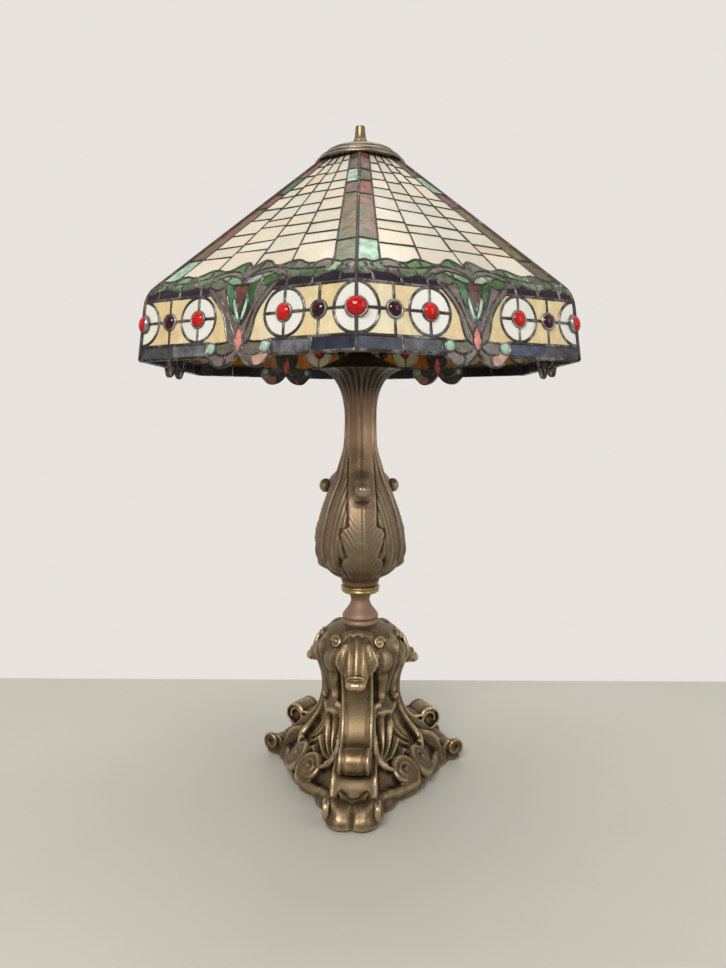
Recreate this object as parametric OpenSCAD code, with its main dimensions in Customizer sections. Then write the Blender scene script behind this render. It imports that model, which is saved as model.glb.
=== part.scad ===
// Leaded glass table lamp: a six sided jewelled shade over a cast three legged base.
// Frame: origin on the lamp's axis at the surface it stands on, +Z up, front leg towards -Y.

/* [Shade] */
// Radius of the shade to its lower corners
rim_r = 240; // [200:1:260]
// Radius to the corners where the skirt meets the shoulder
skirt_top_r = 235; // [195:1:255]
// Radius to the corners where the shoulder meets the cone
cone_r = 228; // [190:1:248]
// Radius to the corners at the top opening
crown_r = 48; // [44:1:56]
// Height of the lower edge of the skirt
rim_z = 448; // [440:1:460]
// Height of the upper edge of the skirt
skirt_z = 505; // [500:1:512]
// Height of the lower edge of the cone
cone_z = 516; // [514:1:524]
// Height of the upper edge of the cone
crown_z = 671.3; // [668:0.1:676]
// Thickness of the glass
glass_t = 3; // [2:0.5:4]
// Width of the coloured strip beside a corner, low on the cone
strip_low = 21; // [14:1:26]
// Width of the coloured strip beside a corner, at the crown
strip_high = 11; // [7:1:13]
// Height of the band of leaves, along the slope
leaf_h = 33; // [26:1:40]
// Height of the dark glass strip at the rim
rim_strip_h = 13; // [9:1:16]
// Radius of a white medallion
medallion_r = 20.5; // [17:0.5:21]
// Radius of a red jewel on a face
red_r = 7.3; // [5:0.1:8]
// Radius of a red jewel on a corner
corner_red_r = 8.2; // [6:0.1:8.4]
// Radius of a dark jewel
dark_r = 6; // [4:0.1:7]
// Radius of a mint jewel
mint_r = 4.8; // [3:0.1:5.5]

/* [Stem] */
// Turn of the stem casting on its pipe, in degrees
stem_turn = 4; // [-30:1:30]
// Radius from the axis to the middle of a curled leaf tip
tip_at_r = 45; // [42:1:48]
// Height of the curled leaf tips
tip_z = 316; // [312:1:320]
// Radius of a curled leaf tip
tip_r = 7.5; // [6:0.5:9]

/* [Base] */
// Turn of the base casting on its pipe, in degrees
base_turn = -3.5; // [-30:0.5:30]
// Radius from the axis to the front of a toe
toe_r = 116; // [108:1:122]
// Width of the strap down each leg
strap_w = 33; // [26:1:38]
// Radius of the roll at the foot of a strap
roll_r = 14; // [11:0.5:15]
// Radius of the cord outlet's bore
cord_r = 4; // [3:0.5:5]

/* [Lights] */
// Distance from the axis to each lamp holder
holder_x = 45; // [42:1:50]
// Height of the foot of the lamp holders
holder_z = 482; // [480:1:486]
// Radius of a bulb
bulb_r = 30; // [22:1:31]
/* [Hidden] */
$fn = 96;
faces = 6;
legs = 3;
corner_gap = 2.3;        // glass stops this far from the line of a corner
pipe_r = 5;            // lamp pipe, M10
stud_r = 3;            // M6 stud that the finial screws on
slip = 0.1;            // running clearance
pad_t = 2;             // felt pads under the toes
flat = cos(180 / faces);

base_top_z = 166;
collar_top_z = 199;
ring_top_z = 209;
lip_z = 447;           // mouth of the stem
seat_z = 661;          // underside of the shade's seat washer
cap_z = 671.5;
finial_z = 699;
top_z = 717;

// Catmull-Rom curve through points, steps to a span.
function spline_at(a, b, c, d, t) =
    0.5 * (2 * b + (c - a) * t + (2 * a - 5 * b + 4 * c - d) * t * t
    + (3 * b - a - 3 * c + d) * t * t * t);
function smooth(p, steps = 5) = let (n = len(p)) concat(
    [for (i = [0 : n - 2], s = [0 : steps - 1])
        spline_at(p[max(i - 1, 0)], p[i], p[i + 1], p[min(i + 2, n - 1)], s / steps)],
    [p[n - 1]]);
function reversed(p) = [for (i = [len(p) - 1 : -1 : 0]) p[i]];
function inset(p, d) = [for (q = p) [q[0] - d, q[1]]];

// ---- shade faces -------------------------------------------------------

// Places children, drawn in the XY plane as (across, up the slope) with +Z outward, on a face
// whose lower edge is at apothem d and height z, and which leans back from upright by lean.
module on_face(k, d, z, lean) {
    rotate([0, 0, 180 / faces + 360 / faces * k])
        translate([0, -d, z])
            rotate([90 - lean, 0, 0])
                children();
}

cone_slope = norm([(cone_r - crown_r) * flat, crown_z - cone_z]);
cone_lean = atan2((cone_r - crown_r) * flat, crown_z - cone_z);
shoulder_slope = norm([(skirt_top_r - cone_r) * flat, cone_z - skirt_z]);
shoulder_lean = atan2((skirt_top_r - cone_r) * flat, cone_z - skirt_z);
skirt_slope = norm([(rim_r - skirt_top_r) * flat, skirt_z - rim_z]);
skirt_lean = atan2((rim_r - skirt_top_r) * flat, skirt_z - rim_z);

module on_cone(k) on_face(k, cone_r * flat, cone_z, cone_lean) children();
module on_shoulder(k) on_face(k, skirt_top_r * flat, skirt_z, shoulder_lean) children();
module on_skirt(k) on_face(k, rim_r * flat, rim_z, skirt_lean) children();
module each_face() for (k = [0 : faces - 1]) { $k = k; children(); }

// Half the width of the cone's face and of its cream field, at v up the slope.
function cone_half(v) = (cone_r - (cone_r - crown_r) * v / cone_slope) / 2;
function strip_w(v) = strip_low - (strip_low - strip_high) * (v - leaf_h) / (cone_slope - leaf_h);
function field_half(v) = cone_half(v) - strip_w(v);
function skirt_half(v) = (rim_r - (rim_r - skirt_top_r) * v / skirt_slope) / 2;

module pane(points) translate([0, 0, -glass_t]) linear_extrude(glass_t) polygon(points);

module cream_glass() color("antiquewhite") each_face() on_cone($k) pane([
    [-field_half(leaf_h), leaf_h], [field_half(leaf_h), leaf_h],
    [field_half(cone_slope), cone_slope], [-field_half(cone_slope), cone_slope]]);

module corner_strip_glass() color("sienna") each_face() on_cone($k) for (side = [-1, 1]) pane([
    [side * field_half(leaf_h), leaf_h],
    [side * (cone_half(leaf_h) - corner_gap), leaf_h],
    [side * (cone_half(cone_slope) - corner_gap), cone_slope],
    [side * field_half(cone_slope), cone_slope]]);

module leaf_glass() color("olivedrab") each_face() on_cone($k) pane([
    [-(cone_half(0) - corner_gap), 0], [cone_half(0) - corner_gap, 0],
    [cone_half(leaf_h) - corner_gap, leaf_h], [-(cone_half(leaf_h) - corner_gap), leaf_h]]);

shoulder_clear = 1.5;  // keeps the shoulder's back edge off the cone's
module shoulder_glass() color("midnightblue") each_face() on_shoulder($k) pane([
    [-(skirt_top_r / 2 - corner_gap), shoulder_clear], [skirt_top_r / 2 - corner_gap, shoulder_clear],
    [cone_r / 2 - corner_gap, shoulder_slope - shoulder_clear],
    [-(cone_r / 2 - corner_gap), shoulder_slope - shoulder_clear]]);

// Medallions sit at these places across a face, jewels between them, all on one line.
row_v = rim_strip_h + 22.5;
medallion_u = 48;
dark_u = 83;
iris_half = 26;         // half width of the flower panel
iris_foot = 37;         // and of its foot, where it takes up the rim strip
corner_hole = 2;        // extra room round a jewel on a corner, where two faces fold away from it

module skirt_side(side) polygon([
    [side * iris_half, rim_strip_h], [side * (skirt_half(rim_strip_h) - corner_gap), rim_strip_h],
    [side * (skirt_half(skirt_slope) - corner_gap), skirt_slope], [side * iris_half, skirt_slope]]);

module skirt_glass() color("burlywood") each_face() on_skirt($k) for (side = [-1, 1])
    translate([0, 0, -glass_t]) linear_extrude(glass_t) difference() {
        skirt_side(side);
        for (u = [medallion_u, skirt_half(row_v)])
            translate([side * u, row_v]) circle(medallion_r);
        translate([side * dark_u, row_v]) circle(dark_r);
    }

module medallion_glass() color("white") each_face() on_skirt($k) for (side = [-1, 1])
    translate([0, 0, -glass_t]) linear_extrude(glass_t) {
        intersection() {
            skirt_side(side);
            difference() {
                translate([side * medallion_u, row_v]) circle(medallion_r);
                translate([side * medallion_u, row_v]) circle(red_r);
            }
        }
        intersection() {
            skirt_side(side);
            difference() {
                translate([side * skirt_half(row_v), row_v]) circle(medallion_r);
                translate([side * skirt_half(row_v), row_v]) circle(corner_red_r + corner_hole);
            }
        }
    }

module rim_glass() color("slategray") each_face() on_skirt($k) for (side = [-1, 1]) pane([
    [side * iris_foot, 0], [side * (skirt_half(0) - corner_gap), 0],
    [side * (skirt_half(rim_strip_h) - corner_gap), rim_strip_h], [side * iris_foot, rim_strip_h]]);

// The flower panel: straight sides where it meets the skirt, and petals that hang below the rim.
mint_at = [30, 6.8];
petals = smooth([[-iris_foot + 1, -1], [-25, -9], [-17, -9.5], [-8, -6], [0, 3], [8, -6], [17, -9.5], [25, -9],
    [iris_foot - 1, -1]]);
module iris_outline() polygon(concat(
    [[-iris_half, skirt_slope], [-iris_half, rim_strip_h], [-iris_foot, rim_strip_h]], petals,
    [[iris_foot, rim_strip_h], [iris_half, rim_strip_h], [iris_half, skirt_slope]]));

module iris_glass() color("thistle") each_face() on_skirt($k)
    translate([0, 0, -glass_t]) linear_extrude(glass_t) difference() {
        iris_outline();
        for (side = [-1, 1]) translate([side * mint_at[0], mint_at[1]]) circle(mint_r);
    }

// A cabochon: a disc as thick as the glass with a low dome, standing proud of it.
module jewel(r, depth = glass_t) {
    rise = r * 0.62;
    ball_r = (r * r + rise * rise) / (2 * rise);
    translate([0, 0, -depth]) cylinder(h = depth, r = r);
    intersection() {
        translate([0, 0, rise - ball_r]) sphere(ball_r);
        cylinder(h = rise, r = r);
    }
}

module on_corner(k) rotate([0, 0, 360 / faces * k])
    translate([0, -(rim_r + (skirt_top_r - rim_r) * row_v / skirt_slope), rim_z + row_v])
        rotate([90, 0, 0]) children();

module red_jewels() color("red") each_face() {
    on_skirt($k) for (side = [-1, 1]) translate([side * medallion_u, row_v]) jewel(red_r);
    on_corner($k) jewel(corner_red_r, 5);
}

module dark_jewels() color("indigo") each_face() on_skirt($k)
    for (side = [-1, 1]) translate([side * dark_u, row_v]) jewel(dark_r);

module mint_jewels() color("aquamarine") each_face() on_skirt($k)
    for (side = [-1, 1]) translate([side * mint_at[0], mint_at[1]]) jewel(mint_r);

// ---- shade metalwork ---------------------------------------------------

// A round bar between two points, cut short at both ends so that bars meeting at a bend stay apart.
bar_trim = 0.6;
module bar(a, b, r) {
    d = b - a;
    translate(a) rotate([0, acos(d[2] / norm(d)), atan2(d[1], d[0])])
        translate([0, 0, bar_trim]) cylinder(h = norm(d) - 2 * bar_trim, r = r);
}

came_r = 1.9;
module corner_cames() color("dimgray") for (k = [0 : faces - 1]) rotate([0, 0, 360 / faces * k]) {
    bar([0, -cone_r, cone_z], [0, -crown_r - 2.3, crown_z - 2], came_r);
    bar([0, -skirt_top_r, skirt_z], [0, -cone_r, cone_z], came_r);
    difference() {
        bar([0, -rim_r, rim_z], [0, -skirt_top_r, skirt_z], came_r);
        translate([0, -rim_r, rim_z + row_v]) rotate([-90, 0, 0])
            translate([0, 0, -5]) cylinder(h = 20, r = corner_red_r);
    }
}

// The reinforcing hoop soldered inside the cone, above the leaves.
hoop_v = 40;
hoop_t = 3;
hoop_r = cone_half(hoop_v) * 2 * flat - 5;
module reinforcing_hoop() color("gray")
    translate([0, 0, cone_z + hoop_v * cos(cone_lean) - 3]) difference() {
        cylinder(h = hoop_t, r = hoop_r);
        translate([0, 0, -1]) cylinder(h = hoop_t + 2, r = hoop_r - hoop_t);
    }

crown_ring_h = 4;
ring_out = crown_r * flat - 1.4;
ring_in = ring_out - 2.4;
module crown_ring() color("goldenrod") translate([0, 0, seat_z + 3]) difference() {
    cylinder(h = crown_ring_h, r = ring_out);
    translate([0, 0, -1]) cylinder(h = crown_ring_h + 2, r = ring_in);
}

// Spider that carries the shade on its seat: a hub and arms inside the crown ring.
spider_t = 3;
arm_w = 8;
hub_r = 12;
module spider() color("darkgoldenrod") translate([0, 0, seat_z + 3]) linear_extrude(spider_t) difference() {
    union() {
        circle(hub_r);
        for (k = [0 : 2]) rotate(120 * k) translate([hub_r - 1, -arm_w / 2])
            square([sqrt(ring_in * ring_in - arm_w * arm_w / 4) - hub_r + 1, arm_w]);
    }
    circle(stud_r + slip);
}

cap_wall = 1.6;
cap_h_all = finial_z - cap_z - slip / 2;
cap_out = [[50, 0], [50, 2.5], [46.5, 5], [46, 7.5], [40, 11.5], [39, 13.5],
    [29, 17.5], [18, 21], [11.5, 24.5], [9, cap_h_all]];
module shade_cap() color("darkolivegreen") translate([0, 0, cap_z]) difference() {
    rotate_extrude() polygon(concat([[0, 0]], cap_out, [[0, cap_h_all]]));
    rotate_extrude() polygon(concat([[0, -1], [50 - cap_wall * 2, -1]],
        [for (q = cap_out) if (q[0] > 12) [q[0] - cap_wall * 2, q[1] - cap_wall]], [[8, 20], [0, 20]]));
    cylinder(h = 40, r = stud_r + slip);
}

finial_bore = 12;
finial_side = smooth([[8, 0], [7, 2.5], [6.2, 6], [5.6, 11], [5.3, 17]]);
module finial() color("peru") translate([0, 0, finial_z]) difference() {
    rotate_extrude() polygon(concat([[0, 0]], finial_side, [[4.8, top_z - finial_z], [0, top_z - finial_z]]));
    translate([0, 0, -1]) cylinder(h = finial_bore + 1, r = stud_r + slip);
}

module seat_washer() color("gold") translate([0, 0, seat_z]) difference() {
    cylinder(h = 3 - slip / 2, r = 11);
    translate([0, 0, -1]) cylinder(h = 5, r = stud_r + slip);
}

// ---- riser and lamp holders --------------------------------------------

body_z = 465;           // foot of the two light body
body_h = 22;
arm_z = body_z + 10;
arm_r = 5;
riser_top = seat_z - 6;

module riser_pipe() color("goldenrod") difference() {
    translate([0, 0, body_z + body_h]) cylinder(h = riser_top - body_z - body_h, r = pipe_r);
    translate([0, 0, body_z]) cylinder(h = 300, r = stud_r);
}

module riser_nut() color("goldenrod") translate([0, 0, riser_top]) difference() {
    cylinder(h = seat_z - riser_top - slip / 2, r = 9, $fn = 6);
    translate([0, 0, -1]) cylinder(h = 8, r = stud_r);
}

module top_stud() color("silver") translate([0, 0, riser_top - 20]) cylinder(h = 73, r = stud_r);

module two_light_body() color("darkgoldenrod") difference() {
    translate([0, 0, body_z]) rotate_extrude() polygon(concat([[0, 0], [14, 0]],
        smooth([[14, 2], [16, 6], [16, 14], [12, 18], [8.5, 20]]), [[8.5, body_h], [0, body_h]]));
    translate([0, 0, body_z - 1]) cylinder(h = 12, r = pipe_r);
    for (side = [-1, 1]) translate([side * 11, 0, arm_z]) rotate([0, side * 90, 0]) cylinder(h = 10, r = arm_r);
}

module holder_arms() color("goldenrod") for (side = [-1, 1]) {
    translate([side * 11, 0, arm_z]) rotate([0, side * 90, 0]) cylinder(h = holder_x - 11, r = arm_r);
    translate([side * holder_x, 0, arm_z]) sphere(arm_r);
    translate([side * holder_x, 0, arm_z]) cylinder(h = holder_z - arm_z, r = arm_r);
}

shell_h = 46;
cap_h = 18;
holder_r = 17.5;
module at_holders() for (side = [-1, 1]) { $side = side; translate([side * holder_x, 0, holder_z]) children(); }

module holder_caps() color("goldenrod") at_holders() difference() {
    rotate_extrude() polygon(concat([[0, 0], [8, 0]], smooth([[8, 2], [12, 5], [16, 11], [17.5, cap_h]]), [[0, cap_h]]));
    translate([0, 0, 3]) cylinder(h = cap_h, r1 = 6, r2 = 15.5);
}

guide_z = 38;           // chain guide, above the holder's foot
module holder_shells() color("gold") at_holders() difference() {
    union() {
        translate([0, 0, cap_h]) cylinder(h = shell_h, r = holder_r);
        translate([$side * (holder_r - 1), 0, guide_z]) rotate([0, $side * 90, 0]) cylinder(h = 7, r = 2.6);
        translate([$side * (holder_r + 5), 0, guide_z - 5]) cylinder(h = 5, r1 = 3.2, r2 = 2.6);
    }
    translate([0, 0, cap_h - 1]) cylinder(h = shell_h + 2, r = holder_r - 1);
    translate([$side * (holder_r + 5), 0, guide_z - 6]) cylinder(h = 6.4, r = bead_r + 0.3);
}

module holder_liners() color("ivory") at_holders() translate([0, 0, cap_h]) difference() {
    cylinder(h = shell_h - 1, r = holder_r - 1 - slip);
    translate([0, 0, 7]) cylinder(h = shell_h, r = 14.6);
}

module contact_sleeves() color("orange") at_holders() translate([0, 0, cap_h + 7]) difference() {
    cylinder(h = 30, r = 14.5);
    translate([0, 0, 1.5]) cylinder(h = 30, r = 13.6);
}

// ---- bulbs -------------------------------------------------------------

bulb_foot = holder_z + cap_h + 9;
screw_h = 27;
module screw_base(side) color("silver") translate([side * holder_x, 0, bulb_foot]) {
    cylinder(h = 3, r1 = 4.5, r2 = 9);
    translate([0, 0, 3]) cylinder(h = screw_h - 3, r = 13.2);
}

bulb_side = smooth([[13, 0], [13.6, 8], [18, 24], [26, 42], [bulb_r, 58], [27, 74], [18, 85], [8, 89.6], [0, 90.5]]);
module glass_envelope(side) color("white", 0.6) translate([side * holder_x, 0, bulb_foot + screw_h]) difference() {
    rotate_extrude() polygon(concat([[0, 0]], bulb_side));
    rotate_extrude() polygon(concat([[0, 1], [11.6, 1]], [for (q = bulb_side) if (q[1] > 1 && q[1] < 88) [q[0] - 1.2, q[1]]],
        [[0, 88.5]]));
}

module bulb_core(side) color("ivory") translate([side * holder_x, 0, bulb_foot + screw_h + 1]) {
    cylinder(h = 26, r1 = 8, r2 = 4);
    translate([0, 0, 26]) cylinder(h = 26, r = 4);
}

// ---- pull chains -------------------------------------------------------

chain_x = holder_x + holder_r + 5;
chain_top = holder_z + guide_z - 0.5;
bead_r = 1.4;
bead_step = 2.6;
beads = 12;
module pull_chain(side) color("gold") translate([side * chain_x, 0, chain_top]) {
    for (i = [0 : beads - 1]) translate([0, 0, -bead_r - i * bead_step]) sphere(bead_r, $fn = 24);
    translate([0, 0, -bead_r - (beads - 1) * bead_step]) cylinder(h = (beads - 1) * bead_step, r = 0.5);
}

knob_side = smooth([[1.2, 0], [2.2, -1.5], [3.2, -5], [3.8, -9], [3, -12], [0, -13]]);
module pull_knob(side) color("peru")
    translate([side * chain_x, 0, chain_top - 2 * bead_r - (beads - 1) * bead_step])
        rotate_extrude() polygon(concat([[0, 0]], knob_side));

// ---- stem --------------------------------------------------------------

stem_out = smooth([[19, 209], [20, 215], [25, 220], [33, 225], [41, 233], [47.5, 244], [49.5, 256],
    [47.5, 272], [43.5, 289], [37.5, 305], [30, 322], [24, 337], [20, 354], [18, 374], [18.2, 396],
    [20.5, 418], [25, 431], [32, 440], [40, 444.5], [45, lip_z]], 4);
stem_wall = 4.5;
module curled_tip(a) rotate([0, 0, a]) {
    translate([-8, -tip_at_r, tip_z]) rotate([0, 90, 0]) cylinder(h = 16, r = tip_r);
    translate([-7, -tip_at_r, tip_z - 10]) cube([14, 20, 10]);
}

module stem_casting() color("saddlebrown") rotate([0, 0, stem_turn]) difference() {
    union() {
        rotate_extrude() polygon(concat([[0, 209]], stem_out, [[0, lip_z]]));
        for (k = [0 : legs - 1]) curled_tip(360 / legs * k);
    }
    rotate_extrude() polygon(concat([[0, 222]], [for (q = stem_out) if (q[1] > 221 && q[1] < 443)
        [q[0] - stem_wall, q[1]]], [[36, lip_z + 1], [0, lip_z + 1]]));
    translate([0, 0, 200]) cylinder(h = 40, r = pipe_r + slip);
}

// Dished cover in the stem's mouth.
dish_side = smooth([[43, 0], [40, 3.5], [32, 8], [22, 12], [15, 16]]);
module stem_dish() color("dimgray") translate([0, 0, lip_z]) difference() {
    rotate_extrude() polygon(concat([[0, 0]], dish_side, [[13, body_z - lip_z], [0, body_z - lip_z]]));
    rotate_extrude() polygon([[0, -1], [39, -1], [36, 2], [22, 9], [10, 14], [0, 14]]);
    cylinder(h = 30, r = pipe_r + slip);
}

module stem_ring() color("darkgoldenrod") difference() {
    rotate_extrude() polygon(concat([[0, collar_top_z]], smooth([[12, collar_top_z], [17, 200.5], [20.5, 203],
        [19.6, 204.5], [21.2, 206], [19, ring_top_z]]), [[0, ring_top_z]]));
    translate([0, 0, 190]) cylinder(h = 30, r = pipe_r + slip);
}

module spindle_collar() color("rosybrown") difference() {
    rotate_extrude() polygon(concat([[0, base_top_z]], smooth([[20.5, base_top_z], [20.3, 170], [19.2, 173],
        [19.6, 175], [17, 180], [12.5, 186], [10.2, 192], [11.5, 197], [12, collar_top_z]]), [[0, collar_top_z]]));
    translate([0, 0, 160]) cylinder(h = 50, r = pipe_r + slip);
}

nut_z = 142;            // underside of the clamp nut, inside the base
pipe_z = 134;
module lamp_pipe() color("silver") difference() {
    translate([0, 0, pipe_z]) cylinder(h = body_z + 11 - pipe_z, r = pipe_r);
    translate([0, 0, pipe_z - 1]) cylinder(h = body_z + 13 - pipe_z, r = 3.6);
}

// ---- base --------------------------------------------------------------

leg_step = 360 / legs;
roll_at = [81, 49.5];
lip_at = [60, 119];
rosette_at = 70;
rosette_r = 13;
rosette_turn = 41;
dome_out = smooth([[62, pad_t], [60, 16], [50, 34], [41, 56], [36.5, 86], [39, 98], [45, 112], [48.5, 134],
    [46, 148], [37, 158], [26, 163.5], [21, base_top_z]], 4);
strap_out = concat(smooth([[50, 114], [49, 100], [51, 80], [57, 63], [66, 54], [76, 52]]),
    [[78, 40], [46, 40], [42, 60], [37, 90], [39, 112]]);
foot_out = concat([[58, pad_t], [53, 20], [46, 42]], smooth([[70, 40], [84, 31], [94, 22], [104, 21], [112, 17],
    [toe_r, 9]]), [[toe_r - 2, pad_t]]);
foot_side = smooth([[19, -84], [21, -96], [27, -108], [22, -114], [8, -toe_r]]);
foot_plan = concat([[19, -40]], foot_side, reversed([for (q = foot_side) [-q[0], q[1]]]), [[-19, -40]]);

// Side outline in the leg's own plane, given as [radius, height], drawn out to width w.
module leg_slab(points, w) translate([w / 2, 0, 0]) rotate([90, 0, -90]) linear_extrude(w) polygon(points);

module leg() {
    leg_slab(strap_out, strap_w);
    translate([-strap_w / 2 + 1, -roll_at[0], roll_at[1]]) rotate([0, 90, 0]) cylinder(h = strap_w - 2, r = roll_r);
    translate([-11, -lip_at[0], lip_at[1]]) rotate([0, 90, 0]) cylinder(h = 22, r = 6.5);
    translate([-14, -lip_at[0], lip_at[1]]) cube([28, 20, 22]);
    intersection() {
        leg_slab(foot_out, 80);
        linear_extrude(60) polygon(foot_plan);
    }
    for (side = [-1, 1]) rotate([0, 0, side * rosette_turn])
        translate([0, -rosette_at, pad_t]) cylinder(h = 28, r = rosette_r);
}

hollow = [[0, 150], [16, 150], [34, 146], [38, 132], [36, 116], [31, 90], [35, 58], [43, 36], [51, 18],
    [54, pad_t]];
outlet_z = 20;
outlet_y = 63;          // inner face of the cord bush's flange
module base_casting() color("darkgoldenrod") difference() {
    rotate([0, 0, base_turn]) {
        rotate_extrude() polygon(concat(dome_out, [[0, base_top_z]], hollow));
        for (k = [0 : legs - 1]) rotate([0, 0, leg_step * k]) leg();
    }
    translate([0, 0, 140]) cylinder(h = 40, r = pipe_r + slip);
    translate([0, outlet_y - 28, outlet_z]) rotate([-90, 0, 0]) cylinder(h = 60, r = cord_r + 2);
}

module clamp_nut() color("silver") translate([0, 0, nut_z]) difference() {
    cylinder(h = 6, r = 10, $fn = 6);
    translate([0, 0, -1]) cylinder(h = 10, r = pipe_r);
}

module clamp_washer() color("silver") translate([0, 0, nut_z + 6]) difference() {
    cylinder(h = 2, r = 12);
    translate([0, 0, -1]) cylinder(h = 10, r = pipe_r + slip);
}

module base_cover() color("darkslategray") translate([0, 0, pad_t - 1.3]) cylinder(h = 1.3, r = 58);

module felt_pads() color("darkgreen") rotate([0, 0, base_turn]) for (k = [0 : legs - 1])
    rotate([0, 0, leg_step * k]) translate([0, -100, 0]) cylinder(h = pad_t, r = 12);

module cord_bush() color("black") translate([0, outlet_y, outlet_z]) rotate([-90, 0, 0]) difference() {
    union() {
        translate([0, 0, -17]) cylinder(h = 17, r = cord_r + 2);
        cylinder(h = 2, r = cord_r + 4);
    }
    translate([0, 0, -18]) cylinder(h = 22, r = cord_r);
}

cream_glass();
corner_strip_glass();
leaf_glass();
shoulder_glass();
skirt_glass();
medallion_glass();
rim_glass();
iris_glass();
red_jewels();
dark_jewels();
mint_jewels();
corner_cames();
reinforcing_hoop();
crown_ring();
spider();
shade_cap();
finial();
seat_washer();
riser_pipe();
riser_nut();
top_stud();
two_light_body();
holder_arms();
holder_caps();
holder_shells();
holder_liners();
contact_sleeves();
glass_envelope(-1);  // bulb_glass_left
screw_base(-1);  // bulb_base_left
bulb_core(-1);  // bulb_core_left
glass_envelope(1);  // bulb_glass_right
screw_base(1);  // bulb_base_right
bulb_core(1);  // bulb_core_right
pull_chain(-1);  // pull_chain_left
pull_knob(-1);  // pull_knob_left
pull_chain(1);  // pull_chain_right
pull_knob(1);  // pull_knob_right
stem_casting();
stem_dish();
stem_ring();
spindle_collar();
lamp_pipe();
base_casting();
clamp_nut();
clamp_washer();
base_cover();
felt_pads();
cord_bush();
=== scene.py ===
"""Leaded glass table lamp: jewelled six-sided shade over a leafy bronze stem and a three-legged cast base."""

import math
import random

import bpy
import numpy as np
from mathutils import Matrix, Vector
from mathutils.geometry import delaunay_2d_cdt


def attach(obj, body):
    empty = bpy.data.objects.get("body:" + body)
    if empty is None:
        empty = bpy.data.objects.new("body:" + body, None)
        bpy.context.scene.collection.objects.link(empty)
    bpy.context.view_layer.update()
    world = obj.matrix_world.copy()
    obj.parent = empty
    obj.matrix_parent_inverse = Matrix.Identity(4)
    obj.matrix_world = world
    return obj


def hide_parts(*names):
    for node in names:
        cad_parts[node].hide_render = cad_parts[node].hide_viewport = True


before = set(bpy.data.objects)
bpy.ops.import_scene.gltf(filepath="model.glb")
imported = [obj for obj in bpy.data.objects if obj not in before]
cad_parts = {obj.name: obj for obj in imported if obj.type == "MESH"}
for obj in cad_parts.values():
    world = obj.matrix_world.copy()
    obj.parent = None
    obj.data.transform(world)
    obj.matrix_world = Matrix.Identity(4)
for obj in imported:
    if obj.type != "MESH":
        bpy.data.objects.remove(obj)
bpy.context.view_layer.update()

MM = 0.001
RNG = random.Random(7)  # for the unevenness of the leads
FACE_SEED = 40          # each face adds its number, for its own glass
FACES = 6
LEGS = 3
COS30 = math.cos(math.radians(30))


# ---- shapes ------------------------------------------------------------


def spline(points, steps=6):
    """A smooth curve through the points."""
    pts = [np.array(p, float) for p in points]
    out = []
    for i in range(len(pts) - 1):
        a, b, c, d = pts[max(i - 1, 0)], pts[i], pts[i + 1], pts[min(i + 2, len(pts) - 1)]
        for k in range(steps):
            t = k / steps
            out.append(0.5 * (2 * b + (c - a) * t + (2 * a - 5 * b + 4 * c - d) * t * t
                              + (3 * b - a - 3 * c + d) * t**3))
    return [tuple(p) for p in out + [pts[-1]]]


def mesh_object(name, verts, faces, smooth=True):
    """A mesh object from points in millimetres."""
    mesh = bpy.data.meshes.new(name)
    mesh.from_pydata([tuple(c * MM for c in v) for v in verts], [], faces)
    mesh.update()
    if smooth:
        mesh.shade_smooth()
    obj = bpy.data.objects.new(name, mesh)
    bpy.context.scene.collection.objects.link(obj)
    return obj


class Heap:
    """Gathers many small shapes, each with a tint, into one mesh."""

    def __init__(self):
        self.verts, self.faces, self.tints, self.tints2, self.within = [], [], [], [], []

    def add(self, verts, faces, tint=(1, 1, 1), tint2=None, within=None):
        base = len(self.verts)
        self.verts.extend(tuple(v) for v in verts)
        self.faces.extend(tuple(base + i for i in f) for f in faces)
        self.tints.extend([tint] * len(verts))
        self.tints2.extend([tint2 or tint] * len(verts))
        self.within.extend(within or [0.0] * len(verts))

    def build(self, name, smooth=True):
        obj = mesh_object(name, self.verts, self.faces, smooth)
        for key, values in (("tint", self.tints), ("tint2", self.tints2)):
            layer = obj.data.color_attributes.new(key, "FLOAT_COLOR", "POINT")
            layer.data.foreach_set("color", [c for t in values for c in (*t, 1.0)])
        obj.data.attributes.new("within", "FLOAT", "POINT").data.foreach_set("value", self.within)
        return obj


def skin(rows, turns, caps=True):
    """Faces between stacked rings of points, and over both ends."""
    faces = []
    for i in range(rows - 1):
        for j in range(turns):
            b = (j + 1) % turns
            faces.append((i * turns + j, i * turns + b, (i + 1) * turns + b, (i + 1) * turns + j))
    if caps:
        faces += [tuple(range(turns))[::-1], tuple(range((rows - 1) * turns, rows * turns))]
    return faces


def lathe(profile, turns=64):
    """Points and faces of a profile of (radius, height) turned about Z."""
    angles = [2 * math.pi * j / turns for j in range(turns)]
    return [(r * math.cos(a), r * math.sin(a), z) for r, z in profile for a in angles], skin(len(profile), turns)


def moved(verts, matrix):
    return [tuple(matrix @ Vector(v)) for v in verts]


def spin_z(angle):
    return Matrix.Rotation(angle, 4, "Z")


def bar(points, ups, section):
    """A bar along points: section(i, side, up) gives the ring round point i; ups are the outward directions."""
    verts = []
    pts = [Vector(p) for p in points]
    for i, p in enumerate(pts):
        along = (pts[min(i + 1, len(pts) - 1)] - pts[max(i - 1, 0)]).normalized()
        up = Vector(ups[i])
        ring = section(i, along.cross(up).normalized(), up)
        verts.extend(p + side + rise for side, rise in ring)
    return verts, skin(len(pts), len(ring))


def sweep(points, ups, half_width, high, low, wobble, sides=8):
    """A rounded bar of uneven width; high and low are its reach each way along ups."""

    def section(_, side, up):
        k = 1 + wobble * (RNG.random() - 0.5) * 2
        turns = [2 * math.pi * (j + 0.5) / sides for j in range(sides)]
        return [(side * (half_width * k * math.cos(t)), up * ((high if math.sin(t) > 0 else low) * math.sin(t)))
                for t in turns]

    return bar(points, ups, section)


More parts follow.
